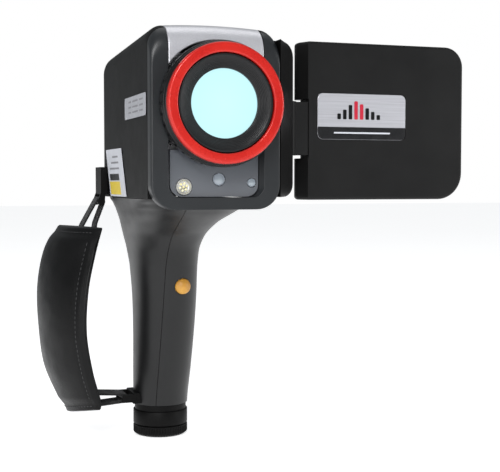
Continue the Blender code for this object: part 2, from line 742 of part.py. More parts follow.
# ---------------------------------------------------------------- hand strap

def upper_strap_lug():
    """Bracket at the rear of the right side, with a bar under it that the webbing loops around."""
    face = BODY_X[0] - GAP
    outer = face - LUG_THICK
    piece = mesh_object("upper_strap_lug", box((outer, face), LUG_Y, LUG_Z), "black_plastic")
    cheek = [(face - 1.4, LUG_Z[0] + 1.0), (outer, LUG_Z[0] + 1.0)]
    cheek += arc(BAR, BAR_R + 0.9, 180.0, 360.0, 8)
    for y in ((LUG_Y[0], LUG_Y[0] + CHEEK), (LUG_Y[1] - CHEEK, LUG_Y[1])):
        join(piece, prism(cheek, y[0], y[1], "Y"))
    join(piece, disc(BAR_R, LUG_Y[0] + 0.5, LUG_Y[1] - 0.5, BAR, "Y", 12))


def band(outline_centre, thick, y_range):
    """A flat webbing strip: an open centre line across X and Z, thickened and extruded along Y."""
    points = [Vector((x, z)) for x, z in outline_centre]
    left = []
    right = []
    for i, point in enumerate(points):
        before = points[max(i - 1, 0)]
        after = points[min(i + 1, len(points) - 1)]
        along = (after - before).normalized()
        normal = Vector((-along.y, along.x))
        left.append(point + normal * thick / 2.0)
        right.append(point - normal * thick / 2.0)
    outline = [(p.x, p.y) for p in left + right[::-1]]
    return prism(outline, y_range[0], y_range[1], "Y")


def upper_webbing():
    line = [(-40.6, 118.6), (-39.9, 120.0)]
    line += arc(BAR, LOOP_R, 148.0, -22.0, 8)
    line += [(-33.4, 119.4), (-33.6, 118.2)]
    inner = (LUG_Y[0] + CHEEK + GAP, LUG_Y[1] - CHEEK - GAP)
    mesh_object("upper_webbing", band(line, WEB_THICK, inner), "webbing")


def lower_strap_lug():
    """Bracket on the foot of the grip, with a bar that the lower webbing loops around."""
    piece = mesh_object("lower_strap_lug", box((-17.6, -11.0), LOW_LUG_Y, LOW_LUG_Z), "black_plastic")
    for y in ((LOW_LUG_Y[0], LOW_LUG_Y[0] + CHEEK), (LOW_LUG_Y[1] - CHEEK, LOW_LUG_Y[1])):
        join(piece, box((LOW_BAR[0] - 1.6, -12.0), y, (LOW_LUG_Z[0] + 0.8, LOW_LUG_Z[1] - 0.8)))
    join(piece, disc(BAR_R, LOW_LUG_Y[0] + 0.5, LOW_LUG_Y[1] - 0.5, LOW_BAR, "Y", 12))
    cut(piece, grip_solid(-GAP))


def lower_webbing():
    line = [(-37.6, 25.2)]
    line += arc(LOW_BAR, LOOP_R, 100.0, -105.0, 8)
    line += [(-38.0, 18.8)]
    inner = (LOW_LUG_Y[0] + CHEEK + GAP, LOW_LUG_Y[1] - CHEEK - GAP)
    mesh_object("lower_webbing", band(line, WEB_THICK, inner), "webbing")


def strap_pad():
    """Padded leather sleeve over the back of the hand; its two mouths take the webbing."""
    rings = [pad_ring(*edges, mouth) for edges, mouth in zip(PAD_EDGES, MOUTH_DEPTH)]
    mesh_object("strap_pad", loft(rings), "leather")


def pad_ring(front, rear, mouth, steps=8):
    """One level of the pad: a band that bulges away from the hand, with a mouth that opens towards it."""
    front = Vector(front)
    rear = Vector(rear)
    across = rear - front
    out = Vector((-across.y, across.x, 0.0)).normalized()
    inner = []
    outer = []
    for i in range(steps + 1):
        t = i / steps
        swell = math.sin(math.pi * t)
        base = front.lerp(rear, t)
        inner.append(tuple(base + out * (PAD_BULGE - mouth) * swell))
        outer.append(tuple(base + out * (PAD_BULGE * swell + PAD_THICK * (0.45 + 0.55 * swell ** 0.5))))
    return inner + outer[::-1]


# ---------------------------------------------------------------- labels, keys and rear door

def side_labels():
    low_x = BODY_X[0] - GAP - 0.4
    high_x = BODY_X[0] - GAP
    upper = rounded((-82.4, -36.5), (174.8, 185.8), (1, 1, 1, 1), 2)
    mesh_object("upper_side_label", prism(upper, low_x, high_x, "X"), "label")
    lower = [(-38.6, 134.8), (-1.2, 134.8), (13.8, 160.6), (-25.8, 160.6)]
    mesh_object("lower_side_label", prism(lower, low_x, high_x, "X"), "label")


def rear_controls():
    made = {}
    for name, (x, z, radius) in REAR_CONTROLS.items():
        proud = 2.6 if name == "enter_key" else 1.2
        profile = [
            (0.0, REAR_Y + proud), (radius * 0.7, REAR_Y + proud), (radius, REAR_Y + proud - 0.7),
            (radius, REAR_Y - 2.6), (radius + 0.9, REAR_Y - 2.6), (radius + 0.9, REAR_Y - 4.0),
            (0.0, REAR_Y - 4.0),
        ]
        made[name] = mesh_object(name, turned(profile, (x, z), steps=20), "grey_key", (x, REAR_Y, z))
    return made


def rear_screws():
    for index, (x, z) in enumerate(REAR_SCREWS):
        profile = [(0.0, 26.3), (1.7, 26.3), (1.7, 26.9), (1.2, 27.2), (0.0, 27.2)]
        piece = mesh_object(f"rear_screw_{index + 1}", turned(profile, (x, z), steps=10), "steel")
        cut(piece, box((x - 1.1, x + 1.1), (26.9, 28.0), (z - 0.25, z + 0.25)))


def terminal_door():
    """Door over the sockets, with a round knuckle along its lower edge."""
    middle = (REAR_Y - DOOR_THICK / 2.0, DOOR_Z[0] + DOOR_THICK / 2.0)
    inner = REAR_Y - DOOR_THICK
    outline = arc(middle, DOOR_THICK / 2.0, 180.0, 360.0, 6)
    outline += [(REAR_Y, DOOR_Z[1]), (inner, DOOR_Z[1])]
    centre = (0.0, *middle)
    piece = mesh_object("terminal_door", prism(outline, DOOR_X[0], DOOR_X[1], "X"), "black_plastic", centre)
    cut(piece, disc(0.65, DOOR_X[0] - 5.0, DOOR_X[1] + 5.0, middle, "X", 10))
    mesh_object("door_pin", disc(0.35, DOOR_X[0] - 2.6, DOOR_X[1] + 2.6, middle, "X", 10), "steel")


def terminal_block():
    piece = mesh_object("terminal_block", box((-11.0, 23.0), (16.0, 24.4), (147.0, 160.0)), "grey_plastic")
    cut(piece, box((-8.0, -0.5), (20.0, 26.0), (152.0, 155.0)))
    cut(piece, disc(1.8, 20.0, 26.0, (7.0, 153.5), steps=16))
    cut(piece, box((13.0, 20.0), (20.0, 26.0), (152.2, 154.8)))


def main_board():
    mesh_object("main_board", box((-8.0, -6.4), (-50.0, 12.0), (140.0, 205.0)), "circuit_board")


def build():
    clear_scene()
    top_cover()
    front_bezel()
    side_cover("right_side_cover", (-60.0, BODY_MID - COVER_HALF - GAP / 2.0))
    left_side_cover()
    rear_cover()
    chassis_plate()
    lens_barrel()
    rear_lens()
    detector_module()
    main_board()
    front_window()
    window_module("led_lamp", LAMP, "clear_lens", 0.9)
    window_module("visible_camera", EYE, "clear_lens", 0.6)
    window_module("laser_pointer", LASER, "clear_lens", 0.5)
    hinge_pin()
    grip_halves()
    trigger_switch()
    base_collar()
    battery_pack()
    upper_strap_lug()
    upper_webbing()
    strap_pad()
    lower_webbing()
    lower_strap_lug()
    side_labels()
    rear_screws()
    terminal_block()

    hang([focus_ring(), front_ring()], pivot("focus_axis", (LENS[0], FOCUS_Y[1], LENS[1])))
    hang([lens_cell(), objective_lens()], pivot("cell_slide", (LENS[0], GLASS_Y, LENS[1])))
    upright = pivot("screen_hinge_axis", (*HINGE, 0.0))
    hang([hinge_block(), tilt_shaft()], upright)
    tilt = pivot("screen_tilt_axis", (PANEL_X[0], *TILT))
    panel = [lcd_outer_cover(), lcd_inner_frame(), lcd_screen(), lcd_board(), name_plate()]
    hang(panel, tilt)
    hang([tilt], upright)
    trigger_button()
    spring = mesh_object("contact_spring", helix((0.0, 0.0), 7.9, 17.6, 6.0, 0.5, 3.0), "steel")
    hang([battery_cap(), tripod_insert(), spring], pivot("cap_axis", (0.0, 0.0, 0.0)))
    rear_controls()
    terminal_door()


build()
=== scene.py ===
"""Looks of the pistol-grip thermal imaging camera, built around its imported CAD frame.

Sizes below are in millimetres; the helpers turn them into Blender's metres.
X runs towards the screen side, the lens looks along -Y and Z is up.
"""

import math

import bmesh
import bpy
from mathutils import Matrix, Vector, noise


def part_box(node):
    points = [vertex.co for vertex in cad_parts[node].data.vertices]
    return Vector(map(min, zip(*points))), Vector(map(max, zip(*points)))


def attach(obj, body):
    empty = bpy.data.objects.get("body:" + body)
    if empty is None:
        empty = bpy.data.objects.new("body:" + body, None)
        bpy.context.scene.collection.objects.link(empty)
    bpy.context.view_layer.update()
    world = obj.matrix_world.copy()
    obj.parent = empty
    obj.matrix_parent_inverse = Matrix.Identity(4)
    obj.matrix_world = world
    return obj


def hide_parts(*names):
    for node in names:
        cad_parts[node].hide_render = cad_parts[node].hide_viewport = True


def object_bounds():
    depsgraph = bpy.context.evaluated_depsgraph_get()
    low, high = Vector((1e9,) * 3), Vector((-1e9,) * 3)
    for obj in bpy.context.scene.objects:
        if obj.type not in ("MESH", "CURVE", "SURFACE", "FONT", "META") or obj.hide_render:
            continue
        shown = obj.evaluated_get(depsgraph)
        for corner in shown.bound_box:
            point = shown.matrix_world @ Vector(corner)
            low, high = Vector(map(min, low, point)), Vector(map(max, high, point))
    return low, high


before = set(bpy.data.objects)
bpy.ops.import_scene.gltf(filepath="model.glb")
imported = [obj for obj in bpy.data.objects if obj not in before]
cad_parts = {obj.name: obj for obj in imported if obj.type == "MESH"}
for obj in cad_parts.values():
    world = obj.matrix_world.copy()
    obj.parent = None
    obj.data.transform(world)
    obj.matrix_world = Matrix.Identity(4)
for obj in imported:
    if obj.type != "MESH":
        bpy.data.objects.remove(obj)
cad_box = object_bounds()

MM = 0.001
ROOT = "camera_body"


def span(node):
    """Lowest and highest corner of a CAD node, in millimetres."""
    low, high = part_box(node)
    return low / MM, high / MM


def middle(node):
    low, high = span(node)
    return (low + high) / 2.0


def face_centre(node):
    """Middle of a node as its x and z, seen from the front or the rear."""
    centre = middle(node)
    return (centre.x, centre.z)


def half_width(node):
    low, high = span(node)
    return (high.x - low.x) / 2.0


# ---------------------------------------------------------------- places read from the frame

RIGHT_LOW, RIGHT_HIGH = span("right_side_cover")
LEFT_LOW, LEFT_HIGH = span("left_side_cover")
TOP_LOW, TOP_HIGH = span("top_cover")
BEZEL_LOW, BEZEL_HIGH = span("front_bezel")
REAR_LOW, REAR_HIGH = span("rear_cover")
RING_LOW, RING_HIGH = span("front_ring")
FOCUS_LOW, FOCUS_HIGH = span("focus_ring")
GLASS_LOW, GLASS_HIGH = span("objective_lens")
WINDOW_LOW, WINDOW_HIGH = span("front_window")
PANEL_LOW, PANEL_HIGH = span("lcd_outer_cover")
FRAME_LOW, FRAME_HIGH = span("lcd_inner_frame")
SCREEN_LOW, SCREEN_HIGH = span("lcd_screen")
PLATE_LOW, PLATE_HIGH = span("name_plate")
BLOCK_LOW, BLOCK_HIGH = span("hinge_block")
COLLAR_LOW, COLLAR_HIGH = span("base_collar")
UPPER_LUG_LOW, UPPER_LUG_HIGH = span("upper_strap_lug")
LOWER_LUG_LOW, LOWER_LUG_HIGH = span("lower_strap_lug")

BODY_X = (RIGHT_LOW.x, BEZEL_HIGH.x)
BODY_MID = (TOP_LOW.x + TOP_HIGH.x) / 2.0
BODY_FLOOR = RIGHT_LOW.z
FRONT_Y = BEZEL_LOW.y
REAR_Y = REAR_HIGH.y
COVER_FRONT_Y = RIGHT_LOW.y
LENS = face_centre("front_ring")
LENS_ORIGIN = (LENS[0], 0.0, LENS[1])
HINGE = (middle("hinge_pin").x, middle("hinge_pin").y)
TILT = (middle("tilt_shaft").y, middle("tilt_shaft").z)
PANEL_ORIGIN = (PANEL_LOW.x, *TILT)
PLATE_ORIGIN = (PLATE_LOW.x, *TILT)
SPOT_RIM = WINDOW_LOW.y - 0.1    # front of the lamp and of the two small lenses
GRIP_SEAM_X = span("grip_right_half")[1].x + 0.15

# ---------------------------------------------------------------- fixed shape values, as in the CAD

REAR_KEYS = ["enter_key", "menu_key", "freeze_key", "record_key", "zoom_key"]
REAR_SCREWS = [f"rear_screw_{index}" for index in range(1, 5)]
KEY_FLANGE = 0.9                 # how far a key's flange stands out behind the cover
SPOT_FLANGE = 1.0                # how far a lamp's or lens's flange stands out behind the pane
GAP = 0.3                        # clearance between parts that meet on the outside
COVER_WALL = 2.0                 # wall of the covers and of the grip
SHOULDER_R = 8.0
CROWN = 1.6                      # rise of the top's middle over its edges
CREST = 217.8                    # height of the top just behind its rounded front
FRONT_ROUND = (12.8, 13.2)       # depth and height of the rounded front of the top
REAR_ROUND = (9.0, 11.0)         # depth and height of its rounded rear
SIDE_ROUND = (6.0, 4.4)          # length and depth of the sides' draw-in at the rear
SIDE_CHAMFER = (1.6, 1.1)        # the same at the front
TOP_SLOPE = 0.0446               # fall of the top towards the rear
GRIP_SECTIONS = [                # z, x range, y range, squareness
    (134.0, (-26.8, 38.6), (-83.6, 24.0), 7.0),
    (131.5, (-26.2, 33.0), (-81.6, 23.6), 5.0),
    (128.0, (-25.2, 27.6), (-76.4, 23.0), 4.0),
    (122.0, (-23.6, 21.6), (-64.6, 21.8), 3.2),
    (115.0, (-22.0, 18.2), (-51.5, 20.2), 2.8),
    (107.0, (-20.2, 16.8), (-43.0, 17.6), 2.5),
    (97.0, (-18.6, 16.6), (-37.6, 14.4), 2.4),
    (80.0, (-17.4, 16.8), (-33.2, 11.8), 2.3),
    (60.0, (-16.8, 16.6), (-27.6, 10.6), 2.2),
    (38.0, (-16.2, 16.0), (-21.0, 12.2), 2.1),
    (18.0, (-15.3, 15.3), (-15.3, 15.3), 2.0),
]
PAD_EDGES = [                    # front edge, rear edge and depth of the mouth, going up
    ((-39.4, -26.0, 20.6), (-47.4, 23.0, 10.6), 5.5),
    ((-39.2, -26.0, 26.0), (-51.0, 23.0, 19.0), 2.6),
    ((-43.2, -26.0, 41.0), (-59.6, 24.0, 39.0), 0.0),
    ((-46.2, -25.0, 62.0), (-62.5, 25.0, 62.0), 0.0),
    ((-44.6, -22.0, 84.0), (-62.8, 27.0, 84.0), 0.0),
    ((-39.4, -16.0, 104.0), (-58.6, 30.0, 104.0), 3.6),
    ((-34.8, -12.0, 117.7), (-50.8, 31.0, 117.9), 6.6),
]
PAD_THICK = 5.4
PAD_LONG = 105.0                 # length of the pad, for spacing along it
PAD_BOW = 4.0                    # how far the pad's middle stands off the line between its edges
SEAMS = (0.085, 0.915)           # the two long seams, as shares of the pad's width
HEM = (5.2, 9.0, 0.6)            # end of a hem and of its ramp along the pad, and its share of the height
BAR = (-31.0, 131.5)             # x, z of the bar that the upper webbing loops around
LOW_BAR = (-22.2, 22.0)
LUG_CHEEK = 1.5                  # thickness of a strap lug's two cheeks
WEBBING = 1.2                    # thickness of the webbing
NOTCH = (60.0, 15.2)             # the housing's notch for the hinge arm: far end in x, half height
PIVOT_BORE = (4.1, 50.0, 68.0)   # room for the tilt shaft: radius, and its two ends along X


# ---------------------------------------------------------------- mesh helpers

def loft(rings):
    """Bridge rings of equal length, and cap both ends."""
    bm = bmesh.new()
    made = [[bm.verts.new(point) for point in ring] for ring in rings]
    count = len(made[0])
    for low, high in zip(made, made[1:]):
        for i in range(count):
            j = (i + 1) % count
            bm.faces.new((low[i], low[j], high[j], high[i]))
    bm.faces.new(reversed(made[0]))
    bm.faces.new(made[-1])
    return bm


def grid(rows):
    """An open sheet through rows of points."""
    bm = bmesh.new()
    made = [[bm.verts.new(point) for point in row] for row in rows]
    for low, high in zip(made, made[1:]):
        for i in range(len(low) - 1):
            bm.faces.new((low[i], low[i + 1], high[i + 1], high[i]))
    return bm


def prism(outline, low, high, axis="Z"):
    """An outline drawn out between two places along an axis."""
    place = {
        "X": lambda u, v, h: (h, u, v),
        "Y": lambda u, v, h: (u, h, v),
        "Z": lambda u, v, h: (u, v, h),
    }[axis]
    return loft([[place(u, v, h) for u, v in outline] for h in (low, high)])


def on_axis(u, v, height, centre, axis):
    if axis == "X":
        return (height, centre[0] + u, centre[1] + v)
    if axis == "Y":
        return (centre[0] + u, height, centre[1] + v)
    return (centre[0] + u, centre[1] + v, height)


def turned(profile, centre, axis="Y", steps=96, wave=None):
    """Turn a closed profile of (radius, height); wave(radius, height, angle) changes the radius."""
    bm = bmesh.new()
    rows = []
    for radius, height in profile:
        if radius == 0.0:
            rows.append([bm.verts.new(on_axis(0.0, 0.0, height, centre, axis))])
            continue
        row = []
        for i in range(steps):
            angle = 2.0 * math.pi * i / steps
            reach = wave(radius, height, angle) if wave else radius
            place = on_axis(reach * math.cos(angle), reach * math.sin(angle), height, centre, axis)
            row.append(bm.verts.new(place))
        rows.append(row)
    for low, high in zip(rows, rows[1:] + rows[:1]):
        for i in range(steps):
            j = (i + 1) % steps
            corners = [low[i % len(low)], low[j % len(low)], high[j % len(high)], high[i % len(high)]]
            unique = list(dict.fromkeys(corners))
            if len(unique) > 2:
                bm.faces.new(unique)
    return bm


def disc(radius, low, high, centre, axis="Y", steps=64):
    return turned([(0.0, low), (radius, low), (radius, high), (0.0, high)], centre, axis, steps)


def box(x, y, z):
    """A box between two places along each axis."""
    return prism([(x[0], y[0]), (x[1], y[0]), (x[1], y[1]), (x[0], y[1])], z[0], z[1])


def arc(centre, radius, start, end, steps):
    """Points of an arc between two angles in degrees, with both ends."""
    angles = [math.radians(start + (end - start) * i / steps) for i in range(steps + 1)]
    return [(centre[0] + radius * math.cos(a), centre[1] + radius * math.sin(a)) for a in angles]


def rounded(u, v, radii, steps=10):
    """A rectangle with its own radius at each corner: low-low, high-low, high-high, low-high."""
    corners = [(u[0], v[0], 1, 1), (u[1], v[0], -1, 1), (u[1], v[1], -1, -1), (u[0], v[1], 1, -1)]
    points = []
    for index, (cu, cv, su, sv) in enumerate(corners):
        radius = radii[index]
        if radius == 0.0:
            points.append((cu, cv))
            continue
        start = 180.0 + 90.0 * index
        points += arc((cu + su * radius, cv + sv * radius), radius, start, start + 90.0, steps)
    return points


def temporary(bm):
    mesh = bpy.data.meshes.new("temporary")
    bm.normal_update()
    bmesh.ops.recalc_face_normals(bm, faces=bm.faces)
    bm.to_mesh(mesh)
    bm.free()
    made = bpy.data.objects.new("temporary", mesh)
    bpy.context.collection.objects.link(made)
    return made


def combine(first, second, operation):
    """The two shapes cut, joined or trimmed, as a new bmesh."""
    target = temporary(first)
    tool = temporary(second)
    step = target.modifiers.new("shape", "BOOLEAN")
    step.operation = operation
    step.solver = "EXACT"
    step.object = tool
    bpy.context.view_layer.update()
    seen = target.evaluated_get(bpy.context.evaluated_depsgraph_get())
    result = bmesh.new()
    result.from_mesh(seen.data)
    for spent in (target, tool):
        bpy.data.objects.remove(spent, do_unlink=True)
    bmesh.ops.dissolve_degenerate(result, edges=result.edges, dist=0.0005)
    bmesh.ops.remove_doubles(result, verts=result.verts, dist=0.0005)
    return result


def cut(bm, *tools):
    for tool in tools:
        bm = combine(bm, tool, "DIFFERENCE")
    return bm


def kept(bm, x, y, z):
    """The part of a shape that lies inside a box."""
    return combine(bm, box(x, y, z), "INTERSECT")


def faced(sheet, direction):
    """An open sheet whose faces, on the whole, look along a direction."""
    bmesh.ops.recalc_face_normals(sheet, faces=sheet.faces)
    if sum(face.normal.dot(Vector(direction)) for face in sheet.faces) < 0.0:
        bmesh.ops.reverse_faces(sheet, faces=sheet.faces)
    return sheet


def quarter(steps):
    """Angles from 0 to 90 degrees, in radians."""
    return [math.pi / 2.0 * i / steps for i in range(steps + 1)]


def spread(low, high, count):
    """Evenly spaced values, with both ends."""
    return [low + (high - low) * i / count for i in range(count + 1)]


def spline(a, b, c, d, t):
    """Catmull-Rom value at t between b and c."""
    return b + 0.5 * t * (c - a + t * (2 * a - 5 * b + 4 * c - d + t * (3 * (b - c) + d - a)))


def lobe(t):
    """How far a quarter round has fallen at t, from 0 to 1."""
    return 1.0 - math.sqrt(1.0 - max(0.0, min(1.0, t)) ** 2)


def piece(name, bm, finish, body=ROOT, node=None, origin=(0.0, 0.0, 0.0), edge=0.0, crease=40.0,
          thick=0.0, slot=None):
    """A visible piece: millimetres in, riding on its body, with softened edges.

    One without a node only adds detail; the slot argument is not used.
    """
    bmesh.ops.remove_doubles(bm, verts=bm.verts, dist=0.0005)
    if thick == 0.0:
        bmesh.ops.recalc_face_normals(bm, faces=bm.faces)
    bmesh.ops.translate(bm, verts=bm.verts, vec=-Vector(origin))
    bmesh.ops.scale(bm, verts=bm.verts, vec=(MM, MM, MM))
    mesh = bpy.data.meshes.new(name)
    bm.to_mesh(mesh)
    bm.free()
    mesh.shade_smooth()
    mesh.materials.append(M[finish])
    made = bpy.data.objects.new(name, mesh)
    made.location = Vector(origin) * MM
    bpy.context.collection.objects.link(made)
    if thick:
        wall = made.modifiers.new("wall", "SOLIDIFY")
        wall.thickness = thick * MM
        wall.offset = -1.0
    if edge:
        soft = made.modifiers.new("soft edges", "BEVEL")
        soft.width = edge * MM
        soft.segments = 3
        soft.limit_method = "ANGLE"
        soft.angle_limit = math.radians(crease)
        soft.use_clamp_overlap = True
        even = made.modifiers.new("even shading", "WEIGHTED_NORMAL")
        even.keep_sharp = True
    else:
        mesh.set_sharp_from_angle(angle=math.radians(crease))
    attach(made, body)
    if node:
        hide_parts(node)
    return made


# ---------------------------------------------------------------- materials

M = {}                           # every material by its name


class Graph:
    """A short way to make a material and wire its nodes.

    The colour given first is the shader's own. Tint and clouds put a varied colour in its place.
    """

    def __init__(self, name, colour, roughness, metallic=0.0, specular=0.5):
        M[name] = bpy.data.materials.new(name)
        M[name].use_nodes = True
        self.nodes = M[name].node_tree.nodes
        self.links = M[name].node_tree.links
        self.shader = self.nodes["Principled BSDF"]
        self.shader.inputs["Base Color"].default_value = (*colour, 1.0)
        self.shader.inputs["Roughness"].default_value = roughness
        self.shader.inputs["Metallic"].default_value = metallic
        self.shader.inputs["Specular IOR Level"].default_value = specular
        self.place = self.nodes.new("ShaderNodeTexCoord").outputs["Object"]
        self.bump = None

    def set(self, **values):
        for name, value in values.items():
            self.shader.inputs[name.replace("_", " ")].default_value = value

    def node(self, kind, inputs, output, **options):
        """A new node's output: each input is either wired or given its value."""
        made = self.nodes.new("ShaderNode" + kind)
        for option, value in options.items():
            setattr(made, option, value)
        for name, value in inputs.items():
            if isinstance(value, bpy.types.NodeSocket):
                self.links.new(value, made.inputs[name])
            else:
                made.inputs[name].default_value = value
        return made.outputs[output]

    def noise(self, scale, detail=3.0, rough=0.5, stretch=None):
        place = self.place
        if stretch:
            place = self.node("Mapping", {"Scale": stretch, "Vector": place}, "Vector")
        inputs = {"Scale": scale, "Detail": detail, "Roughness": rough, "Vector": place}
        return self.node("TexNoise", inputs, "Fac")

    def cells(self, scale, feature="F1", output="Distance"):
        return self.node("TexVoronoi", {"Scale": scale, "Vector": self.place}, output, feature=feature)

    def math(self, operation, first, second=0.0):
        return self.node("Math", {0: first, 1: second}, 0, operation=operation)

    def remap(self, value, low, high, start=0.3, end=0.7):
        inputs = {"Value": value, "From Min": start, "From Max": end, "To Min": low, "To Max": high}
        return self.node("MapRange", inputs, "Result")

    def tint(self, value, first, second):
        """Base colour that runs between two colours with a value from 0 to 1."""
        ramp = self.nodes.new("ShaderNodeValToRGB")
        ramp.color_ramp.elements[0].color = (*first, 1.0)
        ramp.color_ramp.elements[1].color = (*second, 1.0)
        self.links.new(value, ramp.inputs["Fac"])
        self.links.new(ramp.outputs["Color"], self.shader.inputs["Base Color"])

    def rough(self, value):
        self.links.new(value, self.shader.inputs["Roughness"])

    def relief(self, value, strength, depth):
        """Bump, laid over any bump that is already there."""
        inputs = {"Strength": strength, "Distance": depth, "Height": value}
        if self.bump:
            inputs["Normal"] = self.bump
        self.bump = self.node("Bump", inputs, "Normal")
        self.links.new(self.bump, self.shader.inputs["Normal"])

    def clouds(self, scale, detail, first, second):
        """Base colour that drifts softly between two colours."""
        self.tint(self.remap(self.noise(scale, detail), 0.0, 1.0), first, second)

    def sheen(self, scale, detail, low, high):
        """Roughness that drifts softly between two values."""
        self.rough(self.remap(self.noise(scale, detail), low, high))

    def along(self, axis):
        """The place's own x, y or z, for axis 0, 1 or 2."""
        return self.node("SeparateXYZ", {0: self.place}, axis)

    def radius(self):
        """Distance from the piece's own Y axis."""
        squares = [self.math("MULTIPLY", self.along(axis), self.along(axis)) for axis in (0, 2)]
        return self.math("SQRT", self.math("ADD", *squares))

    def waves(self, value, rate):
        return self.math("SINE", self.math("MULTIPLY", value, rate))


def moulded(name, dark, light, roughness, grain=2600.0, depth=0.00004, specular=0.35):
    """Spark-eroded moulded plastic: fine grain, cloudy sheen and faint handling marks."""
    g = Graph(name, dark, roughness, 0.0, specular)
    g.clouds(38.0, 4.0, dark, light)
    haze = g.noise(55.0, 5.0, 0.6)
    g.rough(g.remap(haze, roughness - 0.03, roughness + 0.05))
    g.relief(g.noise(grain, 2.0, 0.6), 0.35, depth)
    g.relief(g.cells(grain * 0.6), 0.18, depth)


def foil(name, colour):
    """Printed label foil."""
    g = Graph(name, colour, 0.35, 0.0, 0.2)
    g.clouds(90.0, 4.0, colour, tuple(min(1.0, c * 1.15) for c in colour))
    g.sheen(200.0, 3.0, 0.28, 0.42)


def plastics():
    black = ((0.0024, 0.0023, 0.0023), (0.0042, 0.0041, 0.0041))
    charcoal = ((0.006, 0.006, 0.0061), (0.0095, 0.0095, 0.0095))
    grip_grey = ((0.0055, 0.0057, 0.006), (0.0075, 0.0077, 0.0082))
    blue_grey = ((0.0105, 0.012, 0.0135), (0.0155, 0.0175, 0.0195))
    key_grey = ((0.05, 0.05, 0.055), (0.075, 0.075, 0.08))
    moulded("body_plastic", *black, 0.46, specular=0.1)
    moulded("panel_plastic", *charcoal, 0.46, specular=0.18)
    moulded("grip_plastic", *grip_grey, 0.37, 1900.0, 0.00003, 0.38)
    moulded("bezel_plastic", *blue_grey, 0.36, 2800.0, 0.00003, 0.4)
    moulded("key_rubber", *key_grey, 0.55)

    g = Graph("orange_rubber", (0.5, 0.24, 0.03), 0.45)
    g.clouds(120.0, 4.0, (0.44, 0.2, 0.024), (0.56, 0.29, 0.045))
    g.relief(g.noise(2400.0, 2.0), 0.25, 0.00004)


def metals():
    g = Graph("silver_paint", (0.6, 0.6, 0.64), 0.32, 0.55)
    flake = g.node("SeparateColor", {0: g.cells(5200.0, output="Color")}, 0)
    g.tint(g.remap(flake, 0.0, 1.0, 0.0, 1.0), (0.54, 0.54, 0.575), (0.68, 0.68, 0.715))
    g.sheen(90.0, 4.0, 0.32, 0.42)
    g.relief(g.noise(1500.0, 2.0), 0.12, 0.00003)
    g.set(Coat_Weight=0.35, Coat_Roughness=0.12)

    g = Graph("red_anodised", (0.62, 0.02, 0.012), 0.26, 0.15, 0.3)
    g.clouds(60.0, 4.0, (0.47, 0.01, 0.007), (0.56, 0.018, 0.011))
    g.sheen(140.0, 4.0, 0.2, 0.32)
    g.relief(g.waves(g.radius(), 26000.0), 0.08, 0.00002)
    g.set(Coat_Weight=0.25, Coat_Roughness=0.08)

    g = Graph("black_anodised", (0.012, 0.0125, 0.014), 0.3, 0.5)
    g.clouds(45.0, 4.0, (0.006, 0.0062, 0.007), (0.011, 0.0115, 0.0125))
    g.sheen(120.0, 4.0, 0.24, 0.36)
    g.relief(g.waves(g.radius(), 11000.0), 0.12, 0.00003)

    g = Graph("cone_anodised", (0.012, 0.012, 0.013), 0.33, 0.3, 0.4)
    lines = g.waves(g.radius(), 9000.0)
    g.tint(g.remap(lines, 0.0, 1.0, -1.0, 1.0), (0.007, 0.007, 0.0075), (0.016, 0.016, 0.017))
    g.sheen(160.0, 3.0, 0.27, 0.38)
    g.relief(lines, 0.5, 0.00006)
    g.set(Anisotropic=0.5)

    g = Graph("turned_steel", (0.52, 0.52, 0.54), 0.28, 1.0)
    streaks = g.noise(200.0, 4.0, stretch=(1.0, 1.0, 12.0))
    g.tint(g.remap(streaks, 0.0, 1.0), (0.44, 0.44, 0.46), (0.6, 0.6, 0.62))
    g.sheen(400.0, 3.0, 0.22, 0.36)
    g.relief(g.noise(900.0, 2.0, stretch=(1.0, 1.0, 10.0)), 0.1, 0.00003)

    g = Graph("brushed_plate", (0.6, 0.6, 0.63), 0.3, 0.55)
    brushed = g.noise(700.0, 3.0, 0.6, stretch=(0.05, 1.0, 3.0))
    g.tint(g.remap(brushed, 0.0, 1.0), (0.52, 0.52, 0.555), (0.64, 0.64, 0.68))
    g.relief(brushed, 0.12, 0.00003)
    g.set(Coat_Weight=0.3, Coat_Roughness=0.08)

    g = Graph("black_enamel", (0.008, 0.008, 0.009), 0.2, 0.0, 0.5)
    g.sheen(300.0, 3.0, 0.14, 0.26)
    g.clouds(120.0, 3.0, (0.006, 0.006, 0.007), (0.011, 0.011, 0.012))


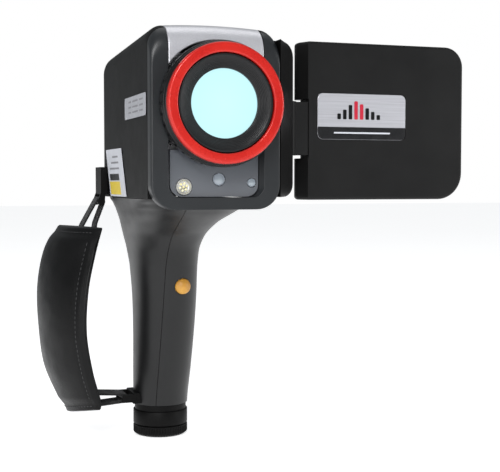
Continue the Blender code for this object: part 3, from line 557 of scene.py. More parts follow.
def glasses():
    g = Graph("germanium_painted_reflection", (0.05, 0.08, 0.08), 0.3, 0.0, 0.1)
    # painted reflection: the glass is lighter in its middle and darker towards its rim
    g.tint(g.remap(g.radius(), 0.0, 1.0, 0.0, 0.017), (0.06, 0.09, 0.09), (0.03, 0.07, 0.08))
    g.sheen(70.0, 3.0, 0.04, 0.09)
    g.set(Coat_Weight=0.05, Coat_Roughness=0.2)
    # painted reflection: a pale cyan glow stands in for the bright surroundings mirrored in the glass
    g.set(Emission_Color=(0.58, 0.91, 0.95, 1.0), Emission_Strength=1.0)

    g = Graph("smoked_window", (0.085, 0.092, 0.105), 0.12, 0.0, 0.6)
    # painted shade: the pane darkens from its bottom towards its top, under the visor
    height = g.remap(g.along(2), 0.0, 1.0, 0.135, 0.158)
    g.tint(height, (0.12, 0.128, 0.142), (0.075, 0.082, 0.095))
    g.sheen(80.0, 4.0, 0.08, 0.17)
    g.set(Coat_Weight=0.5, Coat_Roughness=0.05)

    g = Graph("small_lens", (0.27, 0.31, 0.35), 0.12, 0.2, 0.7)
    # painted reflection: the lens is lighter in its middle and darker towards its rim
    g.tint(g.remap(g.radius(), 0.0, 1.0, 0.0, 0.0031), (0.34, 0.39, 0.43), (0.24, 0.27, 0.31))
    g.sheen(300.0, 2.0, 0.08, 0.16)
    g.set(Coat_Weight=0.7, Coat_Roughness=0.04)

    g = Graph("screen_glass", (0.006, 0.007, 0.009), 0.05, 0.0, 0.6)
    g.clouds(20.0, 3.0, (0.005, 0.006, 0.008), (0.009, 0.011, 0.014))
    g.sheen(45.0, 5.0, 0.03, 0.09)
    g.set(Coat_Weight=0.8, Coat_Roughness=0.02)

    g = Graph("lamp_reflector", (0.4, 0.41, 0.42), 0.22, 0.5)
    facets = g.cells(900.0)
    g.tint(g.remap(facets, 0.0, 1.0, 0.0, 0.6), (0.62, 0.62, 0.6), (0.45, 0.45, 0.43))
    g.relief(facets, 0.4, 0.0001)

    g = Graph("lamp_phosphor", (0.85, 0.78, 0.36), 0.4)
    g.clouds(500.0, 2.0, (0.8, 0.7, 0.3), (0.95, 0.92, 0.62))


def fabrics():
    g = Graph("strap_leather", (0.0028, 0.0028, 0.003), 0.38, 0.0, 0.18)
    g.clouds(30.0, 5.0, (0.0018, 0.0018, 0.002), (0.0034, 0.0034, 0.0036))
    g.rough(g.remap(g.noise(48.0, 5.0, 0.6), 0.34, 0.5))
    pebble = g.cells(1150.0, "DISTANCE_TO_EDGE")
    g.relief(g.remap(pebble, 0.0, 1.0, 0.0, 0.25), 0.3, 0.00012)
    g.relief(g.noise(150.0, 5.0, 0.6), 0.22, 0.0004)

    g = Graph("nylon_webbing", (0.01, 0.01, 0.0105), 0.75, 0.0, 0.25)
    weave = g.math("MULTIPLY", g.waves(g.along(1), 7000.0), g.waves(g.along(2), 5200.0))
    g.tint(g.remap(weave, 0.0, 1.0, -1.0, 1.0), (0.006, 0.006, 0.0065), (0.02, 0.02, 0.021))
    g.relief(weave, 0.8, 0.0002)
    g.set(Sheen_Weight=0.1)

    g = Graph("stitch_thread", (0.018, 0.018, 0.019), 0.6)
    g.clouds(1600.0, 2.0, (0.013, 0.013, 0.014), (0.03, 0.03, 0.032))
    g.relief(g.noise(3500.0, 2.0), 0.5, 0.0001)


def other_materials():
    foil("foil", (0.34, 0.345, 0.37))
    foil("foil_white", (0.52, 0.53, 0.57))
    foil("foil_grey", (0.2, 0.2, 0.215))
    foil("foil_black", (0.004, 0.004, 0.0045))
    foil("foil_yellow", (0.62, 0.46, 0.03))
    foil("foil_red", (0.42, 0.02, 0.04))

    g = Graph("board", (0.02, 0.16, 0.06), 0.4)
    g.tint(g.remap(g.cells(400.0), 0.0, 1.0, 0.0, 0.8), (0.015, 0.13, 0.05), (0.03, 0.22, 0.08))

    g = Graph("cell_wrap", (0.03, 0.09, 0.24), 0.35)
    g.clouds(60.0, 3.0, (0.025, 0.08, 0.22), (0.04, 0.11, 0.28))

    g = Graph("pale_floor", (0.86, 0.86, 0.87), 0.7, 0.0, 0.2)
    g.clouds(3.0, 4.0, (0.78, 0.78, 0.79), (0.81, 0.81, 0.815))
    g.set(Emission_Color=(1.0, 1.0, 1.0, 1.0), Emission_Strength=0.7)


# ---------------------------------------------------------------- body shapes

def crest_at(y):
    """Height of the top's outline at a place along Y, before its crown."""
    flat_start = FRONT_Y + FRONT_ROUND[0]
    if y < flat_start:
        return CREST - FRONT_ROUND[1] * lobe((flat_start - y) / FRONT_ROUND[0])
    rear = (y - REAR_Y + REAR_ROUND[0]) / REAR_ROUND[0]
    return CREST - TOP_SLOPE * (y - flat_start) - REAR_ROUND[1] * lobe(rear)


def side_inset(y):
    """How far the sides draw in towards the rear face and towards the front edge."""
    rear = lobe((y - REAR_Y + SIDE_ROUND[0]) / SIDE_ROUND[0])
    front = lobe((FRONT_Y + SIDE_CHAMFER[0] - y) / SIDE_CHAMFER[0])
    return SIDE_ROUND[1] * rear + SIDE_CHAMFER[1] * front


def crown_at(x):
    centre = (BODY_X[0] + BODY_X[1]) / 2.0
    half = (BODY_X[1] - BODY_X[0]) / 2.0
    return CROWN * (1.0 - ((x - centre) / half) ** 2)


def body_section(y, inset, floor, corner):
    """The body's outline at a place along Y, with points across the top for its crown."""
    low_x = BODY_X[0] + side_inset(y) + inset
    high_x = BODY_X[1] - side_inset(y) - inset
    crest = crest_at(y) - inset
    shoulder = SHOULDER_R - inset
    steps = 10
    outline = rounded((low_x, high_x), (floor, crest), (corner, corner, shoulder, shoulder), steps)
    last_corner = -steps - 1
    across = spread(high_x - shoulder, low_x + shoulder, 16)[1:-1]
    outline[last_corner:last_corner] = [(x, crest) for x in across]
    return [(x, y, z + (crown_at(x) if z > crest - shoulder else 0.0)) for x, z in outline]


def eased(low, high, count):
    """Places between two ends, closer together near both ends."""
    return [low + (high - low) * (0.5 - 0.5 * math.cos(math.pi * i / count)) for i in range(count + 1)]


def body_solid(inset=0.0, floor=BODY_FLOOR, corner=0.0):
    """The whole body's outer shape, drawn in by an inset on every side but the floor."""
    centre = (FRONT_Y + REAR_Y) / 2.0
    shrink = 1.0 - 2.0 * inset / (REAR_Y - FRONT_Y)
    rings = []
    for y in eased(FRONT_Y, REAR_Y, 44):
        moved = centre + (y - centre) * shrink
        rings.append([(x, moved, z) for x, _, z in body_section(y, inset, floor, corner)])
    return loft(rings)


def top_cover():
    """Silver cover: a visor that arches over the lens and curves back along the top."""
    reach = half_width("focus_ring") + 1.0
    columns = []
    for x in spread(TOP_LOW.x, TOP_HIGH.x, 40):
        arch = LENS[1] + math.sqrt(reach ** 2 - (x - LENS[0]) ** 2)
        columns.append([(x, y, z) for y, z in silver_line(x, arch)])
    sheet = faced(grid(columns), (0.0, 0.0, 1.0))
    piece("top_cover_shell", sheet, "silver_paint", node="top_cover", thick=COVER_WALL, edge=0.5)


def silver_line(x, start):
    """The cover's outline over one x: up the front, round and back, from a starting height."""
    rise = crown_at(x)
    flat_start = FRONT_Y + FRONT_ROUND[0]
    base = CREST - FRONT_ROUND[1]
    front = [(FRONT_Y, z + rise) for z in spread(base - 8.0, base, 12)[:-1]]
    for a in quarter(32):
        y = flat_start - FRONT_ROUND[0] * math.cos(a)
        front.append((y, base + FRONT_ROUND[1] * math.sin(a) + rise))
    above = [point for point in front if point[1] > start + 0.02]
    line = resampled([crossing(x, start), *above], 26)
    for y in spread(flat_start, TOP_HIGH.y, 18)[1:]:
        line.append((y, crest_at(y) + rise))
    return line


def crossing(x, start):
    """Where the front of the top passes a height, over one x."""
    rise = crown_at(x)
    base = CREST - FRONT_ROUND[1]
    if start <= base + rise:
        return (FRONT_Y, start)
    s = min(1.0, (start - base - rise) / FRONT_ROUND[1])
    return (FRONT_Y + FRONT_ROUND[0] * (1.0 - math.sqrt(1.0 - s * s)), start)


def resampled(points, count):
    """The same line with its points spread evenly along it."""
    lengths = [0.0]
    for a, b in zip(points, points[1:]):
        lengths.append(lengths[-1] + math.dist(a, b))
    out = []
    k = 0
    for i in range(count + 1):
        goal = lengths[-1] * i / count
        while k < len(points) - 2 and lengths[k + 1] < goal:
            k += 1
        part = (goal - lengths[k]) / max(1e-9, lengths[k + 1] - lengths[k])
        out.append(tuple(a + (b - a) * part for a, b in zip(points[k], points[k + 1])))
    return out


def side_sheet(edge_x, side):
    """Side cover's skin from its seam with the silver cover, round the shoulder and down."""
    rows = []
    for y in spread(COVER_FRONT_Y, RIGHT_HIGH.y, 40):
        wall = BODY_X[0] + side_inset(y) if side < 0 else BODY_X[1] - side_inset(y)
        crest = crest_at(y)
        centre_x = wall - side * SHOULDER_R
        line = [(x, crest + crown_at(x)) for x in (edge_x, (edge_x + centre_x) / 2.0)]
        for a in reversed(quarter(14)):
            x = centre_x + side * SHOULDER_R * math.cos(a)
            z = crest - SHOULDER_R + SHOULDER_R * math.sin(a)
            line.append((x, z + crown_at(x) * math.sin(a) ** 0.5))
        line += [(wall, z) for z in spread(line[-1][1], BODY_FLOOR, 12)[1:]]
        rows.append([(x, y, z) for x, z in line])
    return faced(grid(rows), (side, 0.0, 0.0))


def side_covers():
    for name, node, edge_x, side in (
        ("right_side_shell", "right_side_cover", RIGHT_HIGH.x, -1),
        ("left_side_shell", "left_side_cover", LEFT_LOW.x, 1),
    ):
        piece(name, side_sheet(edge_x, side), "body_plastic", node=node, thick=COVER_WALL, edge=0.5)
    screen_dock()


def screen_dock():
    """Raised dock on the left side that holds the upright hinge between its two ears."""
    root = BODY_X[1] + 0.02
    out = LEFT_HIGH.x
    levels = []
    for z, pull in dock_levels(135.0, 213.0):
        outline = dock_outline(root, out)
        levels.append([(root + (x - root) * pull if x > root else x, y, z) for x, y in outline])
    reach = 7.0
    slot_x = (HINGE[0] - reach, out + 9.0)
    slot_z = (BLOCK_LOW.z - 0.4, BLOCK_HIGH.z + 0.4)
    dock = cut(loft(levels), box(slot_x, (HINGE[1] - reach, -60.0), slot_z))
    piece("screen_dock", dock, "body_plastic", edge=0.7, slot="left_side_cover")


def dock_outline(root, out):
    """The dock from above: a slanted nose, a rounded front corner and a straight back."""
    bend_r = 6.4
    back_y = -66.0
    tip_r = 1.5
    nose = [(root, FRONT_Y + 0.3), (out - 3.4, -82.2)]
    bend = arc((out - bend_r, -76.4), bend_r, -55.0, 0.0, 8)
    tip = [(out, -67.6)] + arc((out - tip_r, back_y - tip_r), tip_r, 10.0, 90.0, 4)
    inside = BODY_X[1] - 1.0
    joined = COVER_FRONT_Y + 0.7
    return nose + bend + tip + [(root, back_y), (inside, back_y), (inside, joined), (root, joined)]


def dock_levels(low_z, high_z):
    """Height and share of the full width: the two ends are rounded off."""
    foot = [(low_z + 6.5 * (1.0 - math.cos(a)), 0.55 + 0.45 * math.sin(a)) for a in quarter(6)]
    head = [(high_z - 7.5 * (1.0 - math.cos(a)), 0.5 + 0.5 * math.sin(a)) for a in quarter(6)]
    return foot + head[::-1]


def front_bezel():
    """Frame round the front: two uprights and a bottom rim, open at the top for the visor."""
    beyond = 5.0
    before = FRONT_Y - beyond
    behind = BEZEL_HIGH.y + beyond
    half = (TOP_HIGH.x - TOP_LOW.x) / 2.0 + GAP
    wide = (BODY_MID - half, BODY_MID + half)
    narrow = (WINDOW_LOW.x - GAP, WINDOW_HIGH.x + GAP)
    top = WINDOW_HIGH.z
    solid = body_solid(0.0, BEZEL_LOW.z, 12.0)
    solid = kept(solid, (-60, 60), (before, BEZEL_HIGH.y), (100, 240))
    solid = cut(solid, box(wide, (before, behind), (top + GAP, 240.0)))
    rings = []
    for y, x in ((before, wide), (FRONT_Y, wide), (WINDOW_LOW.y - 0.2, narrow), (behind, narrow)):
        mouth = rounded(x, (BEZEL_LOW.z + 6.0, top + 1.0), (6, 6, 0, 0), 12)
        rings.append([(u, y, v) for u, v in mouth])
    solid = cut(solid, loft(rings), disc(25.3, before, behind, LENS, steps=96))
    piece("front_frame", solid, "bezel_plastic", node="front_bezel", edge=1.1, crease=32.0)


def rear_cover():
    solid = cut(body_solid(), body_solid(2.2, BODY_FLOOR - 20.0))
    solid = kept(solid, (-60, 60), (REAR_LOW.y, 60), (120, 240))
    for name in REAR_KEYS:
        hole = half_width(name) - KEY_FLANGE + GAP
        solid = cut(solid, disc(hole, 20.0, 30.0, face_centre(name), steps=48))
    low, high = span("terminal_door")
    x = (low.x - GAP, high.x + GAP)
    z = (low.z - GAP, high.z + GAP)
    solid = cut(solid, prism(rounded(x, z, (0.4, 0.4, 1.5, 1.5), 5), 20.0, 30.0, "Y"))
    for name in REAR_SCREWS:
        solid = cut(solid, disc(2.0, 26.0, 30.0, face_centre(name), steps=32))
    piece("rear_shell", solid, "body_plastic", node="rear_cover", edge=0.35)


def rear_keys():
    """Keys with a dished face and a flange behind the cover."""
    for name in REAR_KEYS:
        low, high = span(name)
        centre = face_centre(name)
        radius = half_width(name) - KEY_FLANGE
        rim = radius + KEY_FLANGE
        top = high.y
        shelf = low.y + 1.4
        profile = [(0.0, top - 0.35), (radius * 0.45, top - 0.28), (radius * 0.7, top - 0.05)]
        profile += [(radius * 0.82, top), (radius - 0.25, top - 0.12), (radius, top - 0.5)]
        profile += [(radius, shelf), (rim, shelf), (rim, low.y), (0.0, low.y)]
        origin = (centre[0], top, centre[1])
        cap = turned(profile, centre, steps=48)
        piece(f"{name}_cap", cap, "key_rubber", body=name, node=name, origin=origin, edge=0.12)


def rear_screws():
    """Low screw heads with a cross slot."""
    for name in REAR_SCREWS:
        low, high = span(name)
        x, z = face_centre(name)
        profile = [(0.0, low.y), (1.7, low.y), (1.7, low.y + 0.5), (1.4, high.y - 0.1)]
        profile += [(0.9, high.y), (0.0, high.y)]
        head = turned(profile, (x, z), steps=32)
        depth = (high.y - 0.35, high.y + 1.0)
        for long, tall in ((1.0, 0.22), (0.22, 1.0)):
            head = cut(head, box((x - long, x + long), depth, (z - tall, z + tall)))
        piece(f"{name}_head", head, "turned_steel", node=name, edge=0.06)


def terminal_door():
    """Door with a round hinge edge, a finger lip and three grip lines."""
    low, high = span("terminal_door")
    centre = middle("terminal_door").x
    proud = high.y + 2.0
    pivot_r = (high.y - low.y) / 2.0
    outline = arc((high.y - pivot_r, low.z + pivot_r), pivot_r, 180.0, 360.0, 14)
    slab = prism(outline + [(high.y, high.z), (low.y, high.z)], low.x, high.x, "X")
    lip = rounded((centre - 5.0, centre + 5.0), (high.z - 1.3, high.z + 2.0), (1, 1, 0, 0), 6)
    slab = cut(slab, prism(lip, high.y - 0.6, proud, "Y"))
    for i in range(3):
        z = low.z + 8.0 + 2.4 * i
        slab = cut(slab, box((low.x + 8.0, high.x - 8.0), (high.y - 0.3, proud), (z, z + 0.7)))
    piece("socket_door", slab, "body_plastic", body="terminal_door", node="terminal_door", edge=0.25)


# ---------------------------------------------------------------- lens

def lens_group():
    front_ring()
    focus_ring()
    lens_cell()
    objective()
    fixed_barrel()


def front_ring():
    """Red ring: a flat face with a small round inside and a larger one outside."""
    low, high = RING_LOW.y, RING_HIGH.y
    outer = half_width("front_ring")
    inner = outer - 5.0
    small = 0.8
    large = 1.3
    profile = [(inner, high), (inner, low + small)]
    for a in quarter(6):
        profile.append((inner + small * (1.0 - math.cos(a)), low + small * (1.0 - math.sin(a))))
    for a in quarter(8):
        profile.append((outer - large * (1.0 - math.sin(a)), low + large * (1.0 - math.cos(a))))
    profile.append((outer, high))
    ring = turned(profile, LENS, steps=160)
    piece("red_ring", ring, "red_anodised", "focus_ring", "front_ring", LENS_ORIGIN, crease=50.0)


def focus_ring():
    """Barrel-shaped ring with grooves between its grip ribs."""
    low, high = FOCUS_LOW.y, FOCUS_HIGH.y
    wide = half_width("focus_ring")
    bore = 25.1
    front = [(1.9, 0.0), (1.6, 0.1), (0.8, 1.0), (0.7, 1.3), (0.7, 2.0), (0.2, 2.4), (0.0, 2.8), (0.0, 3.8)]
    rear = [(0.0, 2.0), (0.0, 1.0), (0.2, 0.4), (0.8, 0.0)]
    profile = [(bore, high), (bore, low)]
    profile += [(wide - step, low + depth) for step, depth in front]
    profile += [(wide - step, high - depth) for step, depth in rear]
    grooves = 36
    groove_share = 0.22

    def ribs(radius, height, angle):
        if radius < wide - 0.05 or not low + 3.4 < height < high - 0.7:
            return radius
        phase = (angle * grooves / (2.0 * math.pi)) % 1.0
        return radius - 0.55 if phase < groove_share else radius

    ring = turned(profile, LENS, steps=288, wave=ribs)
    piece("focus_grip", ring, "black_anodised", "focus_ring", "focus_ring", LENS_ORIGIN, crease=35.0)


def fixed_barrel():
    low, high = span("lens_barrel")
    outer = half_width("lens_barrel")
    bore = 20.4
    tail = 23.4
    step_y = -86.0
    profile = [(bore, low.y), (outer - 0.3, low.y), (outer, low.y + 0.3), (outer, step_y)]
    profile += [(tail, step_y), (tail, high.y), (bore, high.y)]
    piece("fixed_barrel", turned(profile, LENS), "black_anodised", ROOT, "lens_barrel", LENS_ORIGIN)


def lens_cell():
    """Stepped cone in front of the glass, and the tube behind it."""
    front = span("lens_cell")[0].y
    outer = half_width("lens_cell")
    mouth = outer - 1.0
    glass_r = 16.7
    seat = front + 3.0
    steps = 9
    skirt = -97.4
    tail = -86.0
    profile = [(outer, skirt), (outer, front + 0.4), (outer - 0.3, front + 0.1), (outer - 0.7, front)]
    for i in range(steps + 1):
        radius = mouth + (glass_r - mouth) * i / steps
        depth = front + 0.5 + (seat - front - 0.5) * i / steps
        profile.append((radius, depth))
        if i < steps:
            profile.append((radius - 0.32, depth + 0.04))
    profile += [(glass_r, seat + 1.1), (18.4, seat + 1.1), (18.4, tail), (20.1, tail), (20.1, skirt)]
    cone = turned(profile, LENS, steps=128)
    piece("lens_cone", cone, "cone_anodised", "lens_cell", "lens_cell", LENS_ORIGIN, crease=28.0)


def objective():
    """The coated front glass, slightly domed, with a painted reflection as its pale cyan glow."""
    low, high = GLASS_LOW.y, GLASS_HIGH.y
    radius = half_width("objective_lens")
    dome_rise = 1.2
    profile = [(16.2 * t, low + dome_rise * t * t) for t in spread(0.0, 1.0, 12)]
    profile += [(radius, low + dome_rise), (radius, high - 1.4), (0.0, high)]
    glass = turned(profile, LENS, steps=128)
    look = "germanium_painted_reflection"
    piece("objective_glass", glass, look, "lens_cell", "objective_lens", LENS_ORIGIN, crease=50.0)


# ---------------------------------------------------------------- window and its lamps

def window_group():
    """Smoked pane with a hole for each lamp or lens, and what sits in the holes."""
    low, high = WINDOW_LOW, WINDOW_HIGH
    through = (-95.0, -80.0)
    outline = rounded((low.x, high.x), (low.z, high.z), (6, 6, 0.6, 0.6), 12)
    pane = prism(outline, low.y, high.y, "Y")
    pane = cut(pane, disc(25.4, *through, LENS, steps=128))
    for name in ("led_lamp", "visible_camera", "laser_pointer"):
        hole = half_width(name) - SPOT_FLANGE + 0.25
        pane = cut(pane, disc(hole, *through, face_centre(name), steps=64))
    piece("window_pane", pane, "smoked_window", node="front_window", edge=0.3)
    lamp()
    small_lens("visible_camera")
    small_lens("laser_pointer")


def lamp():
    """Bright work lamp: a dished reflector, a cluster of emitters and a clear rim."""
    x, z = face_centre("led_lamp")
    back = span("led_lamp")[1].y
    radius = half_width("led_lamp") - SPOT_FLANGE
    rim = SPOT_RIM
    profile = [(radius, back), (radius, rim + 0.2), (radius - 0.2, rim), (radius - 0.6, rim)]
    profile += [(radius * 0.72, rim + 0.9), (radius * 0.4, rim + 1.35), (0.0, rim + 1.5), (0.0, back)]
    bowl = turned(profile, (x, z), steps=64)
    piece("lamp_reflector", bowl, "lamp_reflector", node="led_lamp", origin=(x, rim, z))
    chips = bmesh.new()
    circle = 1.75
    turns = [math.radians(60 * k + 15) for k in range(6)]
    places = [(0.0, 0.0)] + [(circle * math.cos(a), circle * math.sin(a)) for a in turns]
    for u, v in places:
        dome = bmesh.ops.create_uvsphere(chips, u_segments=14, v_segments=8, radius=0.62)
        bmesh.ops.scale(chips, verts=dome["verts"], vec=(1.0, 0.7, 1.0))
        bmesh.ops.translate(chips, verts=dome["verts"], vec=(x + u, rim + 1.15, z + v))
    piece("lamp_emitters", chips, "lamp_phosphor", origin=(x, rim, z))


def small_lens(name):
    """A small domed lens inside a thin rim."""
    x, z = face_centre(name)
    back = span(name)[1].y
    radius = half_width(name) - SPOT_FLANGE
    rim = SPOT_RIM
    dome = radius - 0.55
    seat = rim + 0.3
    profile = [(radius, back), (radius, rim + 0.25), (radius - 0.2, rim), (radius - 0.45, rim)]
    profile += [(dome * (1.0 - a / (math.pi / 2.0)), seat - 0.25 * math.sin(a)) for a in quarter(8)]
    profile.append((0.0, back))
    eye = turned(profile, (x, z), steps=56)
    piece(f"{name}_eye", eye, "small_lens", node=name, origin=(x, rim, z), crease=30.0)


# ---------------------------------------------------------------- screen and hinge

def panel_outline(low, high, inset=0.0, near=0.0):
    """The screen unit's outline: nearly square at the hinge, round at the free end."""
    x = (low.x + inset + near, high.x - inset)
    z = (low.z + inset, high.z - inset)
    hinge_r = max(2.0 - inset, 0.5)
    return rounded(x, z, (hinge_r, 14.0 - inset, 10.5 - inset, hinge_r), 12)


def panel_loft(low, high, rows):
    """A solid through rows of (y, inset all round, further inset at the hinge)."""
    return loft([[(x, y, z) for x, z in panel_outline(low, high, inset, near)] for y, inset, near in rows])


def grown(low, high, margin, radius, steps=10):
    """A rounded outline around a node's box, seen from the front."""
    x = (low.x - margin, high.x + margin)
    z = (low.z - margin, high.z + margin)
    return rounded(x, z, (radius,) * 4, steps)


def arm_notch():
    """The part of the housing's near side that the hinge arm fills."""
    height = (TILT[1] - NOTCH[1], TILT[1] + NOTCH[1])
    return box((50.0, NOTCH[0]), (PANEL_LOW.y - 5.0, FRAME_HIGH.y + 5.0), height)


def screen_housing():
    """Outer cover of the screen unit: softly rounded back, slanted at the hinge."""
    front = PANEL_LOW.y
    back = PANEL_HIGH.y
    soft = 1.6
    wall = 2.0
    rows = []
    for a in quarter(8):
        y = front + soft * (1.0 - math.cos(a))
        inset = soft * (1.0 - math.sin(a))
        slant = 3.4 - 0.42 * (y - front)
        rows.append((y, inset, max(0.0, slant - inset)))
    rows.append((back, 0.0, 0.0))
    shell = panel_loft(PANEL_LOW, PANEL_HIGH, rows)
    hollow = [(front + wall, wall, 4.6), (back + 5.0, wall, 4.0)]
    shell = cut(shell, panel_loft(PANEL_LOW, PANEL_HIGH, hollow))
    shell = cut(shell, disc(*PIVOT_BORE, TILT, "X", 48), arm_notch())
    pocket = grown(PLATE_LOW, PLATE_HIGH, 0.25, 3.2)
    shell = cut(shell, prism(pocket, front - 1.0, front + 0.9, "Y"))
    on_panel("screen_back", shell, "panel_plastic", "lcd_outer_cover", edge=0.35, crease=48.0)


def screen_front():
    """Inner frame of the screen unit with the screen itself."""
    soft = 1.4
    front = FRAME_LOW.y
    back = FRAME_HIGH.y
    rows = [(front, 0.0, 0.0), (back - soft, 0.0, 0.0)]
    rows += [(back - soft * (1.0 - math.sin(a)), soft * (1.0 - math.cos(a)), 0.0) for a in quarter(6)]
    hole = grown(SCREEN_LOW, SCREEN_HIGH, 0.25, 1.0, 5)
    rim = cut(panel_loft(FRAME_LOW, FRAME_HIGH, rows), prism(hole, front - 5.0, back + 5.0, "Y"))
    rim = cut(rim, disc(*PIVOT_BORE, TILT, "X", 48), arm_notch())
    on_panel("screen_rim", rim, "panel_plastic", "lcd_inner_frame", edge=0.3, crease=48.0)
    face = prism(grown(SCREEN_LOW, SCREEN_HIGH, 0.0, 0.8, 5), SCREEN_LOW.y, SCREEN_HIGH.y, "Y")
    on_panel("screen_face", face, "screen_glass", "lcd_screen", edge=0.2)


def on_panel(name, bm, finish, node=None, origin=PANEL_ORIGIN, **more):
    """A piece of the screen unit, which turns about its tilt shaft."""
    piece(name, bm, finish, "screen_panel", node, origin, **more)


def name_plate():
    """Blank two-tone plate with a plain bar chart in place of any mark."""
    front, back = PLATE_LOW.y, PLATE_HIGH.y
    printed = (front, front + 0.3)
    detail = {"origin": PLATE_ORIGIN, "slot": "name_plate"}
    face = prism(grown(PLATE_LOW, PLATE_HIGH, 0.0, 3.0), front + 0.12, back, "Y")
    on_panel("plate_face", face, "brushed_plate", "name_plate", PLATE_ORIGIN, edge=0.2)
    split = PLATE_LOW.z + 6.5
    sides = (PLATE_LOW.x + 0.1, PLATE_HIGH.x - 0.1)
    band = rounded(sides, (PLATE_LOW.z + 0.1, split), (2.9, 2.9, 0.0, 0.0))
    on_panel("plate_band", prism(band, *printed, "Y"), "black_enamel", edge=0.06, **detail)
    start = PLATE_LOW.x + 11.0
    foot = split + 4.0
    for index, tall in enumerate([3.0, 5.0, 7.5, 9.5, 8.0, 6.0, 4.2, 2.6], 1):
        x = start + 3.2 * (index - 1)
        bar = rounded((x, x + 2.0), (foot, foot + tall), (0.5,) * 4, 4)
        finish = "foil_red" if index in (4, 5) else "foil_black"
        on_panel(f"plate_bar_{index}", prism(bar, *printed, "Y"), finish, **detail)
    sides = (PLATE_LOW.x + 9.0, PLATE_HIGH.x - 9.0)
    line = rounded(sides, (PLATE_LOW.z + 3.1, PLATE_LOW.z + 3.9), (0.35,) * 4, 4)
    line = prism(line, front - 0.04, front + 0.2, "Y")
    on_panel("plate_line", line, "foil_white", **detail)


def hinge_knuckle():
    """Upright knuckle with the arm that reaches into the housing's notch."""
    low, high = BLOCK_LOW, BLOCK_HIGH
    knuckle = disc(HINGE[0] - low.x, low.z, high.z, HINGE, "Z", 72)
    arm = box((HINGE[0], high.x), (-75.8, -66.4), (low.z + 0.2, high.z - 0.2))
    block = combine(knuckle, arm, "UNION")
    block = cut(block, disc(1.7, 140.0, 200.0, HINGE, "Z", 32), disc(3.3, 52.0, 62.0, TILT, "X", 40))
    origin = (HINGE[0], HINGE[1], 0.0)
    piece("hinge_knuckle", block, "panel_plastic", "screen_hinge", "hinge_block", origin, edge=0.7)


# ---------------------------------------------------------------- grip

def grip_ring(z, x, y, power, inset=0.0, steps=72):
    centre = ((x[0] + x[1]) / 2.0, (y[0] + y[1]) / 2.0)
    half = ((x[1] - x[0]) / 2.0 - inset, (y[1] - y[0]) / 2.0 - inset)
    ring = []
    for i in range(steps):
        angle = 2.0 * math.pi * (i + 0.5) / steps
        u = math.copysign(abs(math.cos(angle)) ** (2.0 / power), math.cos(angle))
        v = math.copysign(abs(math.sin(angle)) ** (2.0 / power), math.sin(angle))
        ring.append((centre[0] + half[0] * u, centre[1] + half[1] * v, z))
    return ring


def smooth_rows(rows, parts=5):
    """Smooth sections between the given ones, each (height, x range, y range, squareness)."""
    flat = [[z, *x, *y, power] for z, x, y, power in rows]
    out = []
    for i in range(len(flat) - 1):
        around = (flat[max(i - 1, 0)], flat[i], flat[i + 1], flat[min(i + 2, len(flat) - 1)])
        for k in range(parts):
            t = k / parts
            z = flat[i][0] + (flat[i + 1][0] - flat[i][0]) * t
            row = [spline(*values, t) for values in zip(*around)]
            out.append((z, (row[1], row[2]), (row[3], row[4]), max(2.0, row[5])))
    return [*out, rows[-1]]


def grip_solid(inset=0.0, lengthen=0.0):
    rings = [grip_ring(*row, inset) for row in smooth_rows(GRIP_SECTIONS)]
    if lengthen:
        above = [(x, y, z + lengthen) for x, y, z in rings[0]]
        below = [(x, y, z - lengthen) for x, y, z in rings[-1]]
        rings = [above, *rings, below]
    return loft(rings[::-1])


def grip_halves():
    """Two hollow halves that meet along an upright seam, with a hole for the trigger."""
    trigger = face_centre("trigger_button")
    hole = half_width("trigger_button") + GAP
    seam = 0.12
    for name, x in (
        ("grip_right_half", (-60.0, GRIP_SEAM_X - seam)),
        ("grip_left_half", (GRIP_SEAM_X + seam, 60.0)),
    ):
        solid = cut(grip_solid(), grip_solid(COVER_WALL, 5.0))
        solid = kept(solid, x, (-120.0, 60.0), (0.0, 150.0))
        if name == "grip_left_half":
            solid = cut(solid, disc(hole, -60.0, -10.0, trigger, steps=56))
        piece(f"{name}_shell", solid, "grip_plastic", node=name, edge=0.35, crease=50.0)


def trigger_cap():
    """Domed trigger button with a stem behind it."""
    low, high = span("trigger_button")
    centre = face_centre("trigger_button")
    radius = half_width("trigger_button")
    front = low.y
    back = front + 6.8
    profile = [((radius - 0.5) * t, front + 1.5 * t ** 2.2) for t in spread(0.0, 1.0, 8)]
    profile += [(radius, front + 2.1), (radius, back), (1.5, back), (1.5, high.y), (0.0, high.y)]
    button = turned(profile, centre, steps=56)
    origin = (centre[0], front, centre[1])
    piece("trigger_cap", button, "orange_rubber", "trigger", "trigger_button", origin, crease=50.0)


# ---------------------------------------------------------------- base

def collar():
    """Plain collar that the twist cap turns in."""
    low, high = COLLAR_LOW.z, COLLAR_HIGH.z
    outer = COLLAR_HIGH.x
    bore = 13.2
    neck = 14.5
    profile = [(bore, low), (outer - 0.6, low), (outer - 0.2, low + 0.2), (outer, low + 0.6)]
    profile += [(outer, 14.0), (outer - 0.2, 14.3), (outer - 0.8, 14.5), (neck, 14.8)]
    profile += [(neck, high), (bore, high)]
    ring = turned(profile, (0.0, 0.0), "Z", 128)
    piece("collar_ring", ring, "body_plastic", node="base_collar")


